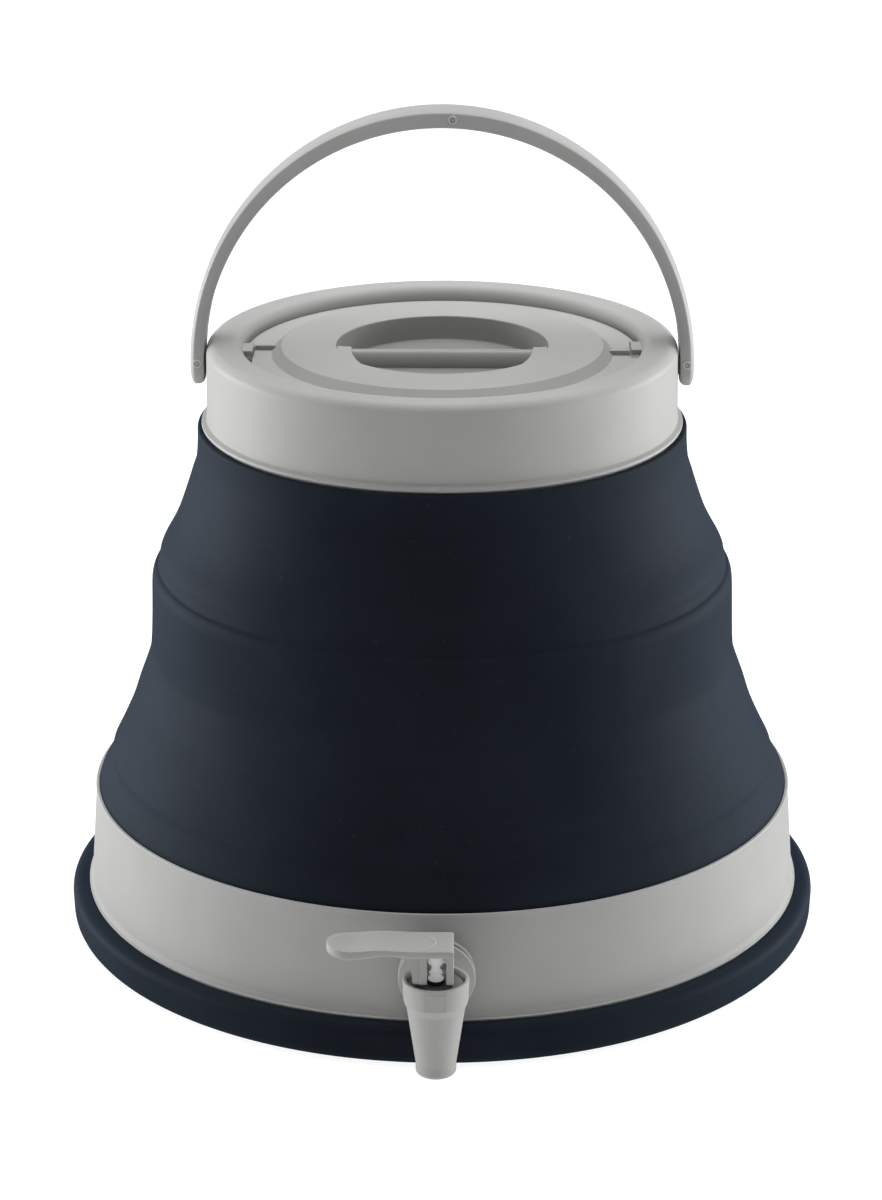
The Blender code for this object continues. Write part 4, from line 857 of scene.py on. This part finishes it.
def make_ring_mark(label, x, z):
    """A shallow ring with a dot in it, left on the front edge of the strap by the mould."""
    for part, corners in (
        ("ring", [(1.15, 9.5, 0.33), (1.85, 9.5, 0.33), (1.85, 8.2, 0), (1.15, 8.2, 0)]),
        ("dot", [(0, 9.3, 0), (0.55, 9.3, 0.4), (0.55, 8.7, 0), (0, 8.7, 0)]),
    ):
        # The ring and dot are painted a lighter grey: a painted highlight.
        turned(
            f"handle_mark_{label}_{part}", round_corners(corners, 2), MARK_GREY_PAINTED_HIGHLIGHT, "handle", 32,
            place=lambda p: np.stack((p[:, 0] + x, -p[:, 2], p[:, 1] + z), -1)
        )


# Tap, in millimetres

CUP_TOP = (13.4, 48.0)
CUP_WAIST = (13.0, 38.6)
ROD_RADIUS = 1.8


def make_tap_body():
    """Cup and spout about the upright axis, and shank with its flange about the level one."""
    corners = [
        (11.8, 48.0, 0.45), (*CUP_TOP, 0.6), (*CUP_WAIST, 0.5), (11.75, 35.2, 0.8), (8.2, 11.0, 1.5),
        (8.2, 6.2, 1.6), (6.2, 6.2, 0.5), (6.2, 22.0, 0), (4.5, 22.0, 0), (4.5, 26.0, 0),
        (8.7, 26.0, 0), (8.7, 42.6, 0), (11.7, 42.6, 0.3),
    ]
    turned(
        "tap_cup", hold_edges(round_corners(corners)), TAP_GREY, "base", MIDDLE_RING,
        place=around_tap, stands_for=("tap_body",)
    )
    shank = [
        (4.8, 132.2, 0.3), (8.0, 132.2, 0.6), (8.0, 158.0, 0), (15.8, 158.0, 0.3), (15.8, 159.2, 0.7),
        (9.6, 161.0, 0.8), (8.6, 162.0, 0.6), (8.0, 169.5, 0), (4.8, 169.5, 0),
    ]
    turned(
        "tap_shank", hold_edges(round_corners(shank)), TAP_GREY, "base", MIDDLE_RING, place=along_shank
    )
    make_cup_plate()


def make_cup_plate():
    """A low plate on the front of the cup, 8.8 mm wide. It follows the cup 0.2 mm further out, lies
    flat where that would fall back by more than 0.55 mm, and stays inside the cup's widest radius."""
    proud, fall, thickness = 0.2, 0.55, 1.6
    x = np.linspace(-4.4, 4.4, 13)
    z = np.linspace(38.7, 46.4, 9)
    cup = np.interp(z, (CUP_WAIST[1], CUP_TOP[1]), (CUP_WAIST[0], CUP_TOP[0]))
    front = TAP_Y - np.sqrt(cup[None, :] ** 2 - x[:, None] ** 2) - proud
    front = np.clip(front, TAP_Y - CUP_TOP[0], front.min() + fall)
    grid_x = np.broadcast_to(x[:, None], front.shape)
    grid_z = np.broadcast_to(z[None, :], front.shape)
    face = np.stack((grid_x, front, grid_z), -1)
    back = np.stack((grid_x, front + thickness, grid_z), -1)
    rows, columns = front.shape
    count = rows * columns
    points = np.concatenate((face.reshape(-1, 3), back.reshape(-1, 3)))
    front_quads = grid_faces(rows, columns, False, False)
    rim = np.concatenate(
        (np.arange(columns), np.arange(1, rows) * columns + columns - 1,
         (rows - 1) * columns + np.arange(columns - 2, -1, -1), np.arange(rows - 2, 0, -1) * columns)
    )
    after = np.roll(rim, -1)
    sides = np.stack((rim, rim + count, after + count, after), -1)
    quads = np.concatenate((front_quads, front_quads[:, ::-1] + count, sides[:, ::-1]))
    plate = add_piece("tap_cup_plate", points, quads, (), TAP_GREY, "base", merge=True)
    bevel_edges(plate, 0.12, 2, 50)


def make_stem():
    """The pale stem: a knob, the waist that the hooks hold, two discs, and the rod down to the plug
    with its low collar. A rubber wiper sits on the rod under the discs."""
    corners = [
        (0, 58.6, 0), (2.9, 58.6, 0.8), (2.9, 54.3, 0.6), (1.75, 53.8, 0.2), (1.75, 51.4, 0.1),
        (2.7, 51.1, 0.35), (2.7, 50.2, 0.3), (2.1, 49.9, 0.2), (2.2, 49.0, 0.3),
        (3.15, 48.1, 0.3), (3.05, 47.4, 0.3), (ROD_RADIUS, 47.3, 0), (ROD_RADIUS, 30.6, 0),
        (3.4, 30.6, 0.2), (3.4, 29.4, 0.2), (ROD_RADIUS, 29.4, 0), (ROD_RADIUS, 27.8, 0), (0, 27.8, 0),
    ]
    outline = hold_edges(round_corners(corners), closed=False, hold=0.12)
    # The stem's material glows: painted light.
    turned(
        "valve_stem_spool", outline, NYLON_PAINTED_GLOW, "valve", TINY_RING, place=around_tap,
        stands_for=("valve_stem",)
    )
    wiper = [(1.85, 47.2, 0), (3.1, 47.2, 0.3), (3.5, 45.9, 0.2), (1.85, 45.9, 0)]
    turned("valve_stem_wiper", round_corners(wiper), SEAL, "valve", TINY_RING, place=around_tap)


PADDLE_END = -43.6
PADDLE_HEAD = 7.1
PADDLE_HALF = 9.6
PADDLE_TOP = 64.2
ROUND_START = PADDLE_END + PADDLE_HALF


def paddle_half(x):
    """Half the width of the paddle: even along the head, and a half circle at the far end."""
    beyond = np.minimum(x - ROUND_START, 0)
    return PADDLE_HALF * np.sqrt(np.maximum(1 - (beyond / PADDLE_HALF) ** 2, 0))


def edge_drop(edge, radius):
    """How far a surface has dropped at a distance from its edge, where the edge is rounded:
    radius - sqrt(radius^2 - (radius - edge)^2), and nothing further in than the radius."""
    near = np.clip(radius - edge, 0, radius)
    return radius - np.sqrt(np.maximum(radius ** 2 - near ** 2, 0))


def make_paddle():
    """The paddle as rows across it. Its top sags in two smooth bells, exp(-((x - middle) / width)^2),
    one of them a dish for a thumb, and its underside waves, thick at the far end and thin at
    x = -20. Both edges are rounded."""
    swing = np.linspace(0, math.pi / 2, 16)
    far = PADDLE_END + PADDLE_HALF * (1 - np.cos(swing))
    x = np.concatenate((far, np.linspace(ROUND_START, PADDLE_HEAD, 42)[1:]))
    half = paddle_half(x)
    spread = np.sin(np.linspace(-math.pi / 2, math.pi / 2, 25))
    y = half[:, None] * spread[None, :]
    from_end = np.hypot(np.minimum(x - ROUND_START, 0)[:, None], y)
    edge = np.minimum(PADDLE_HALF - from_end, (PADDLE_HEAD - x)[:, None])
    thickness = 3.05 + 0.65 * np.clip((-x - 22) / 10, 0, 1) - 0.35 * np.exp(-((x + 20) / 5.5) ** 2)
    sag = 0.75 * np.exp(-(((x + 34.5) / 7) ** 2)) + 0.5 * np.clip((x + 19) / 9, 0, 1)
    dish = 0.35 * np.exp(-(((x[:, None] + 33.5) / 6.5) ** 2) - (y / 6.0) ** 2) + sag[:, None]
    top = PADDLE_TOP - dish - edge_drop(edge, 0.45)
    bottom = (PADDLE_TOP - sag - thickness)[:, None] + edge_drop(edge, 0.6)
    across = np.concatenate((y, y[:, ::-1]), 1)
    up = np.concatenate((top, bottom[:, ::-1]), 1)
    along = np.broadcast_to(x[:, None], across.shape)
    points = np.stack((along, across + TAP_Y, up), -1)
    carried("lever_paddle", points, TAP_GREY, "lever", ("tap_lever",), merge=True)


def lever_block(label, low, high, half, levels, edge=0.3):
    """A block of the lever from low to high along X, and half its width to each side of the cup."""
    outline = rectangle(low, TAP_Y - half, high, TAP_Y + half)
    block_of("lever_" + label, outline, levels, TAP_GREY, "lever", edge)


def make_cam():
    """The thinner web behind the left leg. Its flank sweeps from (-18.6, 61.8) down to (-9.2, 50.2):
    x = -18.6 + 9.4 (1 - (1 - t)^1.9)^0.9 and z = 61.8 - 11.6 t^2."""
    inner_x, half = -6.0, 8.9
    share = np.linspace(0, 1, 14)
    flank_x = -18.6 + (18.6 - 9.2) * (1 - (1 - share) ** 1.9) ** 0.9
    flank_z = 61.8 + (50.2 - 61.8) * share ** 2.0
    flank = np.concatenate((np.stack((flank_x, flank_z), 1), [(-8.7, 49.5)]))
    inside = np.stack((np.full(len(flank), inner_x), flank[:, 1]), 1)
    outline = np.concatenate((flank, inside[::-1]))
    levels = (TAP_Y - half, TAP_Y + half)
    block_of("lever_cam", outline, levels, TAP_GREY, "lever", 0.3, along_y=True)


def make_lever_legs():
    """The two legs, the cam beside the left one, the heels inside the cup and the hooks."""
    lever_block("leg_left", -6.5, -3.4, 9.5, (49.35, 61.6))
    lever_block("leg_right", 4.2, PADDLE_HEAD, 9.5, (49.35, 61.6))
    make_cam()
    lever_block("heel_rear", -8.9, -4.9, 4.5, (46.2, 50.5))
    lever_block("heel_front", 5.1, 6.9, 4.5, (46.2, 50.5))
    lever_block("hook_rear", -3.7, -2.1, 2.5, (52.05, 53.15), 0.2)
    lever_block("hook_front", 2.3, 5.0, 2.5, (52.05, 53.15), 0.2)


def make_lever_arc():
    """A thin raised arc on the head of the lever: a round bead, sunk in up to its top, along an arc
    of radius 6.7."""
    turn = np.linspace(-1.38, 1.38, 41)
    around = np.linspace(0, TAU, 9)[:-1]
    bead, arc_radius = 0.26, 6.7
    radius = arc_radius + bead * np.cos(around)[None, :]
    x = -arc_radius + radius * np.cos(turn)[:, None]
    y = TAP_Y + radius * np.sin(turn)[:, None]
    z = np.broadcast_to(PADDLE_TOP - 0.6 + bead * np.sin(around)[None, :], x.shape)
    # The arc is painted a lighter grey: a painted highlight.
    carried("lever_arc", np.stack((x, y, z), -1), MARK_GREY_PAINTED_HIGHLIGHT, "lever")


def make_spring():
    """The valve's spring: a round wire of radius w along a helix of radius R, with each point at
    ((R + w cos b) cos a, (R + w cos b) sin a, height + w sin b)."""
    coil, wire, low, high = 5.2, 0.3, 29.95, 42.3
    turns, sides = 5, 8
    turn = np.linspace(0, turns * TAU, 32 * turns + 1)[:, None]
    around = (np.arange(sides) * TAU / sides)[None, :]
    radius = coil + wire * np.cos(around)
    height = low + (high - low) * turn / turn[-1] + wire * np.sin(around)
    points = np.stack((radius * np.cos(turn), radius * np.sin(turn), height), -1)
    spring = carried("valve_spring_coil", around_tap(points), STEEL, None, ("valve_spring",))
    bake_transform(spring)


def make_washers():
    """Hidden rings of the tap that show at its edges, turned finer than the solids they stand for."""
    seal = [(8.3, 156.2, 0), (15.2, 156.2, 0.4), (15.2, 157.7, 0.4), (8.3, 157.7, 0)]
    turned(
        "outer_seal_ring", hold_edges(round_corners(seal, 2)), SEAL, "base", SMALL_RING,
        place=along_shank, stands_for=("tap_outer_seal",)
    )
    seat = [(4.6, 45.8, 0.2), (11.1, 45.8, 0.2), (11.1, 44.9, 0), (4.6, 44.9, 0)]
    turned(
        "seat_washer_ring", hold_edges(round_corners(seat, 2)), WASHER, "lever_seat", SMALL_RING,
        place=around_tap, stands_for=("lever_seat_washer",)
    )


make_foot()
make_wall()
make_band()
make_collar()
make_lid()
make_handle()
make_tap_body()
make_stem()
make_paddle()
make_lever_legs()
make_lever_arc()
make_spring()
make_washers()


# Floor, lights and camera, in metres

FLOOR_HALF = 6.0
FLOOR_DROP = 0.0004
BACKDROP_OUTLINE = ((5.9, -0.001), (5.9, 7.0), (0.01, 8.0))
WORLD_GLOW = 0.03

CAMERA_DISTANCE = 1.4842
CAMERA_HEIGHT = 0.6784
CAMERA_TILT = 19.825
CAMERA_TURN = 0.8
LENS = 108.32
SENSOR_HEIGHT = 36.0
SHIFT_X = -0.001


def paper_sheet(name, points, faces):
    """A sheet of studio paper that isn't mirrored in the tank."""
    mesh = bpy.data.meshes.new(name)
    mesh.from_pydata(points, [], faces)
    mesh.materials.append(PAPER)
    sheet = bpy.data.objects.new(name, mesh)
    bpy.context.scene.collection.objects.link(sheet)
    sheet.visible_glossy = False
    return sheet


def make_floor():
    """A square of paper just under the foot."""
    corners = rectangle(-FLOOR_HALF, -FLOOR_HALF, FLOOR_HALF, FLOOR_HALF)
    floor = paper_sheet("floor", [(x, y, 0) for x, y in corners.tolist()], [(0, 1, 2, 3)])
    floor.location.z = -FLOOR_DROP


def make_backdrop():
    """An upright drum of the floor's paper near its far edge, closed by a low cone at the top. Only
    the camera sees it, so it adds no light and throws no shadow."""
    turn = np.arange(MIDDLE_RING) * TAU / MIDDLE_RING
    radius, height = np.array(BACKDROP_OUTLINE).T[..., None]
    height = np.broadcast_to(height, (len(height), MIDDLE_RING))
    points = np.stack((radius * np.cos(turn), radius * np.sin(turn), height), -1)
    faces = grid_faces(len(BACKDROP_OUTLINE), MIDDLE_RING, False)[:, ::-1]
    backdrop = paper_sheet("backdrop", points.reshape(-1, 3).tolist(), faces.tolist())
    backdrop.visible_diffuse = False
    backdrop.visible_transmission = False
    backdrop.visible_shadow = False


def soft_panel(name, place, target, width, height, power):
    """A rectangular soft light that faces its target."""
    light = bpy.data.lights.new(name, "AREA")
    light.shape = "RECTANGLE"
    light.size = width
    light.size_y = height
    light.energy = power
    panel = bpy.data.objects.new(name, light)
    bpy.context.scene.collection.objects.link(panel)
    panel.location = place
    aim = np.array(target) - np.array(place)
    panel.rotation_euler = Vector(aim).to_track_quat("-Z", "Y").to_euler()
    return panel


def make_lights():
    """A wide soft light overhead, a low one at each side, and a faint even glow all round."""
    overhead = soft_panel(
        "overhead", place=(0, 0.45, 1.45), target=(0, 0.3, 0.2), width=2.2, height=2.0, power=42.0
    )
    overhead.visible_glossy = False
    for label, side in SIDES:
        soft_panel(
            "side_" + label, place=(side * 1.21, 0.30, 0.21), target=(0, 0, 0.16), width=1.0,
            height=0.40, power=16.2
        )
    world = bpy.data.worlds.new("studio")
    bpy.context.scene.world = world
    world.use_nodes = True
    background = world.node_tree.nodes["Background"]
    background.inputs["Color"].default_value = (1.0, 1.0, 1.0, 1.0)
    background.inputs["Strength"].default_value = WORLD_GLOW


def make_camera():
    """The camera's height, distance and tilt were fitted to the rings of the photographed tank."""
    lens = bpy.data.cameras.new("camera")
    lens.sensor_fit = "VERTICAL"
    lens.sensor_height = SENSOR_HEIGHT
    lens.lens = LENS
    lens.shift_x = SHIFT_X
    camera = bpy.data.objects.new("camera", lens)
    bpy.context.scene.collection.objects.link(camera)
    turn = math.radians(CAMERA_TURN)
    camera.location = (
        CAMERA_DISTANCE * math.sin(turn), -CAMERA_DISTANCE * math.cos(turn), CAMERA_HEIGHT
    )
    camera.rotation_euler = (math.radians(90 - CAMERA_TILT), 0, turn)
    bpy.context.scene.camera = camera


make_floor()
make_backdrop()
make_lights()
make_camera()
bpy.context.scene.view_settings.view_transform = "Standard"
